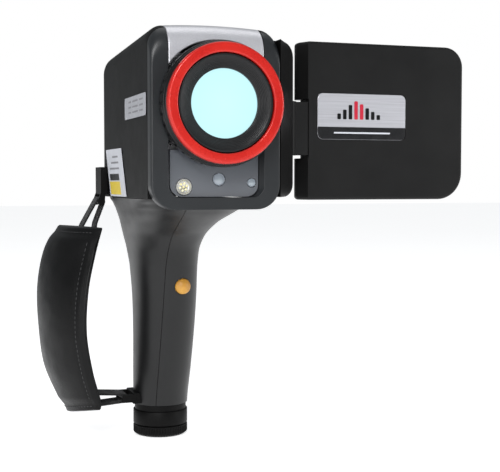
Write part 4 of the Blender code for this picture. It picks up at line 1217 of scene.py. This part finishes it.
def twist_cap():
    """Cap at the foot with fine upright ribs, and the threaded bush in its middle."""
    outer = COLLAR_HIGH.x
    bush_r = 5.3
    rim_r = 12.9
    profile = [(bush_r, 0.0), (13.2, 0.0), (13.8, 0.15), (outer - 0.2, 1.2), (outer, 1.6), (outer, 2.2)]
    profile += [(outer, 4.4), (outer, 5.0), (outer - 0.1, 5.6), (outer - 0.4, 5.9), (rim_r, 5.9)]
    profile += [(rim_r, 12.0), (10.6, 12.0), (10.6, 7.0), (bush_r, 7.0)]
    rib_count = 60
    rib_depth = 0.5

    def ribs(radius, height, angle):
        if radius < outer - 0.1 or not 1.5 < height < 5.3:
            return radius
        return radius - rib_depth * (0.5 - 0.5 * math.cos(angle * rib_count))

    cap = turned(profile, (0.0, 0.0), "Z", 360, ribs)
    piece("twist_cap", cap, "body_plastic", "battery_cap", "battery_cap", crease=35.0)
    low, high = span("tripod_insert")
    turns = 5
    pitch = (high.z - low.z - 0.6) / turns
    crest, root = 3.1, 3.45
    profile = [(5.0, low.z), (5.0, high.z), (crest, high.z)]
    for i in range(turns):
        z = high.z - pitch * (i + 0.5)
        profile += [(root, z), (crest, z - 0.45)]
    profile += [(crest, low.z + 0.5), (3.5, low.z)]
    bush = turned(profile, (0.0, 0.0), "Z", 64)
    piece("thread_bush", bush, "turned_steel", "battery_cap", "tripod_insert", crease=30.0)


# ---------------------------------------------------------------- hand strap

def pad_level(share):
    """Front edge, rear edge and mouth depth at a share of the way up the pad."""
    rows = [[*front, *rear, mouth] for front, rear, mouth in PAD_EDGES]
    heights = [(row[2] + row[5]) / 2.0 for row in rows]
    height = heights[0] + (heights[-1] - heights[0]) * share
    i = 0
    while i < len(rows) - 2 and heights[i + 1] < height:
        i += 1
    t = (height - heights[i]) / (heights[i + 1] - heights[i])
    around = (rows[max(i - 1, 0)], rows[i], rows[i + 1], rows[min(i + 2, len(rows) - 1)])
    out = [spline(*values, t) for values in zip(*around)]
    return Vector(out[0:3]), Vector(out[3:6]), max(0.0, out[6])


def pad_point(s, t, depth, mouth_share=0.0):
    """A point of the pad: s up its length, t from front edge to rear edge, depth outwards."""
    front, rear, mouth = pad_level(s)
    across = rear - front
    out = Vector((-across.y, across.x, 0.0)).normalized()
    bow = (PAD_BOW - mouth * mouth_share) * math.sin(math.pi * t)
    return front.lerp(rear, t) + out * (bow + depth)


def pad_height(t):
    """How thick the pad is at a share of its width, away from the hems."""
    return PAD_THICK * (0.4 + 0.6 * max(0.0, math.sin(math.pi * t)) ** 0.5)


def strap_pad():
    """Padded leather sleeve: crowned outside, hemmed at both ends, with soft creases."""
    rings = [pad_ring(s) for s in spread(0.0, 1.0, 84)]
    made = piece("leather_pad", loft(rings), "strap_leather", node="strap_pad", crease=60.0)


def pad_ring(s):
    """The sleeve's outline at a share of the way up."""
    hem_end, ramp_end, hem_share = HEM
    from_end = min(s, 1.0 - s) * PAD_LONG
    ramp = max(0.0, min(1.0, (from_end - hem_end) / (ramp_end - hem_end)))
    hem = hem_share + (1.0 - hem_share) * math.sin(math.pi / 2.0 * ramp)
    tip = 1.0 - lobe(1.0 - from_end / 0.9)
    outer = []
    inner = []
    for t in spread(0.0, 1.0, 40):
        side = max(0.0, math.sin(math.pi * t))
        puff = pad_height(t)
        groove = sum(0.5 * math.exp(-((t - seam) / 0.012) ** 2) for seam in SEAMS)
        ripple = 0.35 * noise.noise(Vector((s * 5.2, t * 2.2, 3.1)))
        ripple += 0.16 * noise.noise(Vector((s * 16.8, t * 6.0, 8.4)))
        depth = puff * hem * (0.25 + 0.75 * tip) - groove * hem + ripple * side * hem
        outer.append(pad_point(s, t, max(0.9, depth)))
        inner.append(pad_point(s, t, 0.25 * (1.0 - tip) * puff + 0.12 * ripple, 1.0))
    return outer + edge_round(outer[-1], inner[-1]) + inner[::-1] + edge_round(inner[0], outer[0])


def edge_round(a, b):
    """Two points that round the pad's thin edge."""
    outward = Vector((0.0, 1.0, 0.0)) if a.y > -5.0 else Vector((0.0, -1.0, 0.0))
    lift = outward * (a - b).length * 0.28
    return [a.lerp(b, 0.25) + lift, a.lerp(b, 0.75) + lift]


def stitching():
    """Thread that runs along both long edges and across both hems."""
    bm = bmesh.new()
    thread_r = 0.3

    def stitch(a, b):
        along = b - a
        turn = Vector((0, 0, 1)).rotation_difference(along.normalized()).to_matrix().to_4x4()
        made = bmesh.ops.create_uvsphere(bm, u_segments=8, v_segments=6, radius=1.0)
        bmesh.ops.scale(bm, verts=made["verts"], vec=(thread_r, thread_r, along.length / 2.0))
        bmesh.ops.transform(bm, verts=made["verts"], matrix=Matrix.Translation((a + b) / 2.0) @ turn)

    for s in spread(0.08, 0.92, 34)[:-1]:
        for t in SEAMS:
            depth = pad_height(t) - 0.32
            stitch(pad_point(s, t, depth), pad_point(s + 0.018, t, depth))
    for s in (0.04, 0.96):
        for start in spread(0.09, 0.89, 16):
            ends = (start, start + 0.034)
            stitch(*(pad_point(s, t, pad_height(t) * HEM[2] - 0.02) for t in ends))
    piece("pad_stitching", bm, "stitch_thread", crease=80.0, slot="strap_pad")


def band(line, name, node):
    """Flat webbing along a line across X and Z, with rounded selvedges."""
    low, high = (corner.y for corner in span(node))
    selvedge = [(0.0, 0.35), (0.25, 0.8), (0.7, 1.0)]
    across = [(low + gap, share) for gap, share in selvedge] + [((low + high) / 2.0, 0.9)]
    across += [(high - gap, share) for gap, share in reversed(selvedge)]
    fine = resampled(line, 70)
    rows = []
    for i, (x, z) in enumerate(fine):
        before = Vector(fine[max(i - 1, 0)])
        after = Vector(fine[min(i + 1, len(fine) - 1)])
        along = (after - before).normalized()
        normal = Vector((-along.y, along.x)) * WEBBING / 2.0
        ring = [(x + normal.x * share, y, z + normal.y * share) for y, share in across]
        ring += [(x - normal.x * share, y, z - normal.y * share) for y, share in reversed(across)]
        rows.append(ring)
    piece(name, loft(rows), "nylon_webbing", node=node, crease=50.0)


def strap_webbing():
    """Two strips, each round its lug's bar, with both ends a little short of the pad."""
    bend = 2.1
    rear_leg = [(-42.2, 114.5), (-41.0, 118.0), (-39.9, 120.0)]
    front_leg = [(-33.4, 119.4), (-33.8, 117.0), (-34.6, 113.5)]
    line = rear_leg + arc(BAR, bend, 148.0, -22.0, 14) + front_leg
    band(line, "upper_loop", "upper_webbing")
    line = [(-37.6, 25.2)] + arc(LOW_BAR, bend, 100.0, -105.0, 14) + [(-38.0, 18.8)]
    band(line, "lower_loop", "lower_webbing")


def upper_lug():
    """Plate on the body's side with two cheeks that hold the bar."""
    low, high = UPPER_LUG_LOW, UPPER_LUG_HIGH
    face = high.x
    outer = face - 4.0
    foot = BAR[1] + 5.1
    lug = box((outer, face), (low.y, high.y), (foot - 1.0, high.z))
    cheek = [(face - 1.4, foot), (outer, foot)] + arc(BAR, 2.1, 180.0, 360.0, 16)
    for y in ((low.y, low.y + LUG_CHEEK), (high.y - LUG_CHEEK, high.y)):
        lug = combine(lug, prism(cheek, *y, "Y"), "UNION")
    lug = combine(lug, disc(1.2, low.y + 0.5, high.y - 0.5, BAR, "Y", 24), "UNION")
    piece("upper_bracket", lug, "body_plastic", node="upper_strap_lug", edge=0.4)


def lower_lug():
    """Block on the grip's foot with two cheeks that hold the bar."""
    low, high = LOWER_LUG_LOW, LOWER_LUG_HIGH
    lug = box((-17.6, high.x), (low.y, high.y), (low.z, high.z))
    for y in ((low.y, low.y + LUG_CHEEK), (high.y - LUG_CHEEK, high.y)):
        lug = combine(lug, box((low.x, -16.6), y, (low.z + 0.8, high.z - 0.8)), "UNION")
    lug = combine(lug, disc(1.2, low.y + 0.8, high.y - 0.8, LOW_BAR, "Y", 24), "UNION")
    lug = cut(lug, grip_solid(-0.25))
    piece("lower_bracket", lug, "body_plastic", node="lower_strap_lug", edge=0.35)


# ---------------------------------------------------------------- side labels

def upper_label():
    """Pale label with plain bars in place of its print."""
    low, high = span("upper_side_label")
    sheet = rounded((low.y, high.y), (low.z, high.z), (1.2,) * 4, 6)
    sheet = prism(sheet, low.x + 0.1, high.x, "X")
    piece("upper_label_foil", sheet, "foil", node="upper_side_label")
    for row in range(3):
        z = high.z - 2.6 - 2.7 * row
        for start, wide in ((5.0, 8), (16.0, 12), (31.0, 6)):
            y = low.y + start
            mark = rounded((y, y + wide), (z - 0.45, z + 0.45), (0.2,) * 4, 2)
            mark = prism(mark, low.x + 0.04, low.x + 0.15, "X")
            name = f"upper_label_bar_{row + 1}_{wide}"
            piece(name, mark, "foil_grey", slot="upper_side_label")


def lower_label():
    """Slanted label with plain bars and two blocks of colour."""
    low, high = span("lower_side_label")
    lean = 12.7
    slant = lean / (high.z - low.z)
    wide = high.y - low.y - lean - 0.2

    def patch(name, z, share, finish, proud, **role):
        """A part of the label between two heights and two shares of its width."""
        corners = ((z[0], share[0]), (z[0], share[1]), (z[1], share[1]), (z[1], share[0]))
        outline = [(low.y + 0.2 + slant * (v - low.z) + u * wide, v) for v, u in corners]
        piece(name, prism(outline, low.x + 0.1 - proud, high.x - 0.05, "X"), finish, **role)

    node = "lower_side_label"
    patch("lower_label_foil", (low.z, high.z), (0.0, 1.0), "foil_white", 0.0, node=node)
    proud = 0.05
    yellow = (low.z + 1.0, low.z + 8.0)
    black = (low.z + 8.6, low.z + 12.2)
    patch("lower_label_yellow", yellow, (0.28, 0.94), "foil_yellow", proud, slot=node)
    patch("lower_label_black", black, (0.3, 0.9), "foil_black", proud, slot=node)
    for row in range(3):
        z = low.z + 14.6 + 3.2 * row
        share = (0.25, 0.85 - 0.12 * row)
        patch(f"lower_label_bar_{row + 1}", (z, z + 1.0), share, "foil_grey", proud, slot=node)


# ---------------------------------------------------------------- CAD pieces that stay as they are

def finish_inside():
    """Give the carried-over CAD nodes their finer materials."""
    finishes = {
        "turned_steel": (
            "chassis_plate", "detector_module", "hinge_pin", "tilt_shaft", "contact_spring", "door_pin",
        ),
        "board": ("main_board", "lcd_board"),
        "bezel_plastic": ("trigger_switch", "terminal_block"),
        "small_lens": ("rear_lens",),
        "cell_wrap": ("battery_pack",),
    }
    for finish, nodes in finishes.items():
        for node in nodes:
            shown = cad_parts[node]
            shown.data.materials.clear()
            shown.data.materials.append(M[finish])


# ---------------------------------------------------------------- floor, light and camera

def floor():
    mesh = bpy.data.meshes.new("floor")
    half = 6.0
    corners = [(-half, -half, 0), (half, -half, 0), (half, half, 0), (-half, half, 0)]
    mesh.from_pydata(corners, [], [(0, 1, 2, 3)])
    mesh.materials.append(M["pale_floor"])
    ground = bpy.data.objects.new("floor", mesh)
    ground.location.z = min(cad_box[0][2], 0.0) - 0.0002
    bpy.context.collection.objects.link(ground)


def surroundings():
    """White behind the camera's view, dimmer and slightly cool for the lighting."""
    world = bpy.data.worlds.new("studio")
    bpy.context.scene.world = world
    world.use_nodes = True
    nodes = world.node_tree.nodes
    wire = world.node_tree.links.new
    back = nodes["Background"]
    back.inputs["Color"].default_value = (0.93, 0.97, 1.0, 1.0)
    back.inputs["Strength"].default_value = 0.3
    seen = nodes.new("ShaderNodeBackground")
    seen.inputs["Strength"].default_value = 1.0
    seen.inputs["Color"].default_value = (1.0, 1.0, 1.0, 1.0)
    path = nodes.new("ShaderNodeLightPath")
    choice = nodes.new("ShaderNodeMixShader")
    wire(path.outputs["Is Camera Ray"], choice.inputs[0])
    wire(back.outputs[0], choice.inputs[1])
    wire(seen.outputs[0], choice.inputs[2])
    wire(choice.outputs[0], nodes["World Output"].inputs["Surface"])


def lights():
    add_light("key", (-0.55, -1.25, 0.95), 13.0, 0.55, 0.55)
    add_light("left", (-0.62, -1.3, 0.22), 3.5, 0.14, 0.7)
    add_light("right", (1.35, -0.72, 0.22), 6.0, 0.3, 0.8)
    add_light("side", (-1.3, -0.7, 0.25), 3.5, 0.25, 0.8)
    add_light("above", (0.15, 0.35, 1.5), 3.5, 1.1, 0.8)


def camera():
    """The photo's viewpoint."""
    made = bpy.data.objects.new("camera", bpy.data.cameras.new("camera"))
    made.location = (-0.1482, -0.5877, 0.1423)
    made.rotation_euler = (math.radians(90.0 - 2.87), 0.0, math.radians(-19.0))
    made.data.lens = 76.9
    made.data.sensor_width = 36.0
    made.data.clip_start = 0.01
    bpy.context.collection.objects.link(made)
    bpy.context.scene.camera = made
    bpy.context.scene.view_settings.view_transform = "Standard"


def add_light(name, place, power, wide, tall):
    data = bpy.data.lights.new(name, "AREA")
    data.energy = power
    data.shape = "RECTANGLE"
    data.size = wide
    data.size_y = tall
    lamp_object = bpy.data.objects.new(name, data)
    lamp_object.location = place
    aim = Vector((0.0, -0.02, 0.13)) - Vector(place)
    lamp_object.rotation_euler = aim.to_track_quat("-Z", "Y").to_euler()
    bpy.context.collection.objects.link(lamp_object)


plastics()
metals()
glasses()
fabrics()
other_materials()
top_cover()
side_covers()
front_bezel()
rear_cover()
rear_keys()
rear_screws()
terminal_door()
lens_group()
window_group()
screen_housing()
screen_front()
name_plate()
hinge_knuckle()
grip_halves()
trigger_cap()
collar()
twist_cap()
strap_pad()
stitching()
strap_webbing()
upper_lug()
lower_lug()
upper_label()
lower_label()
finish_inside()
floor()
surroundings()
lights()
camera()
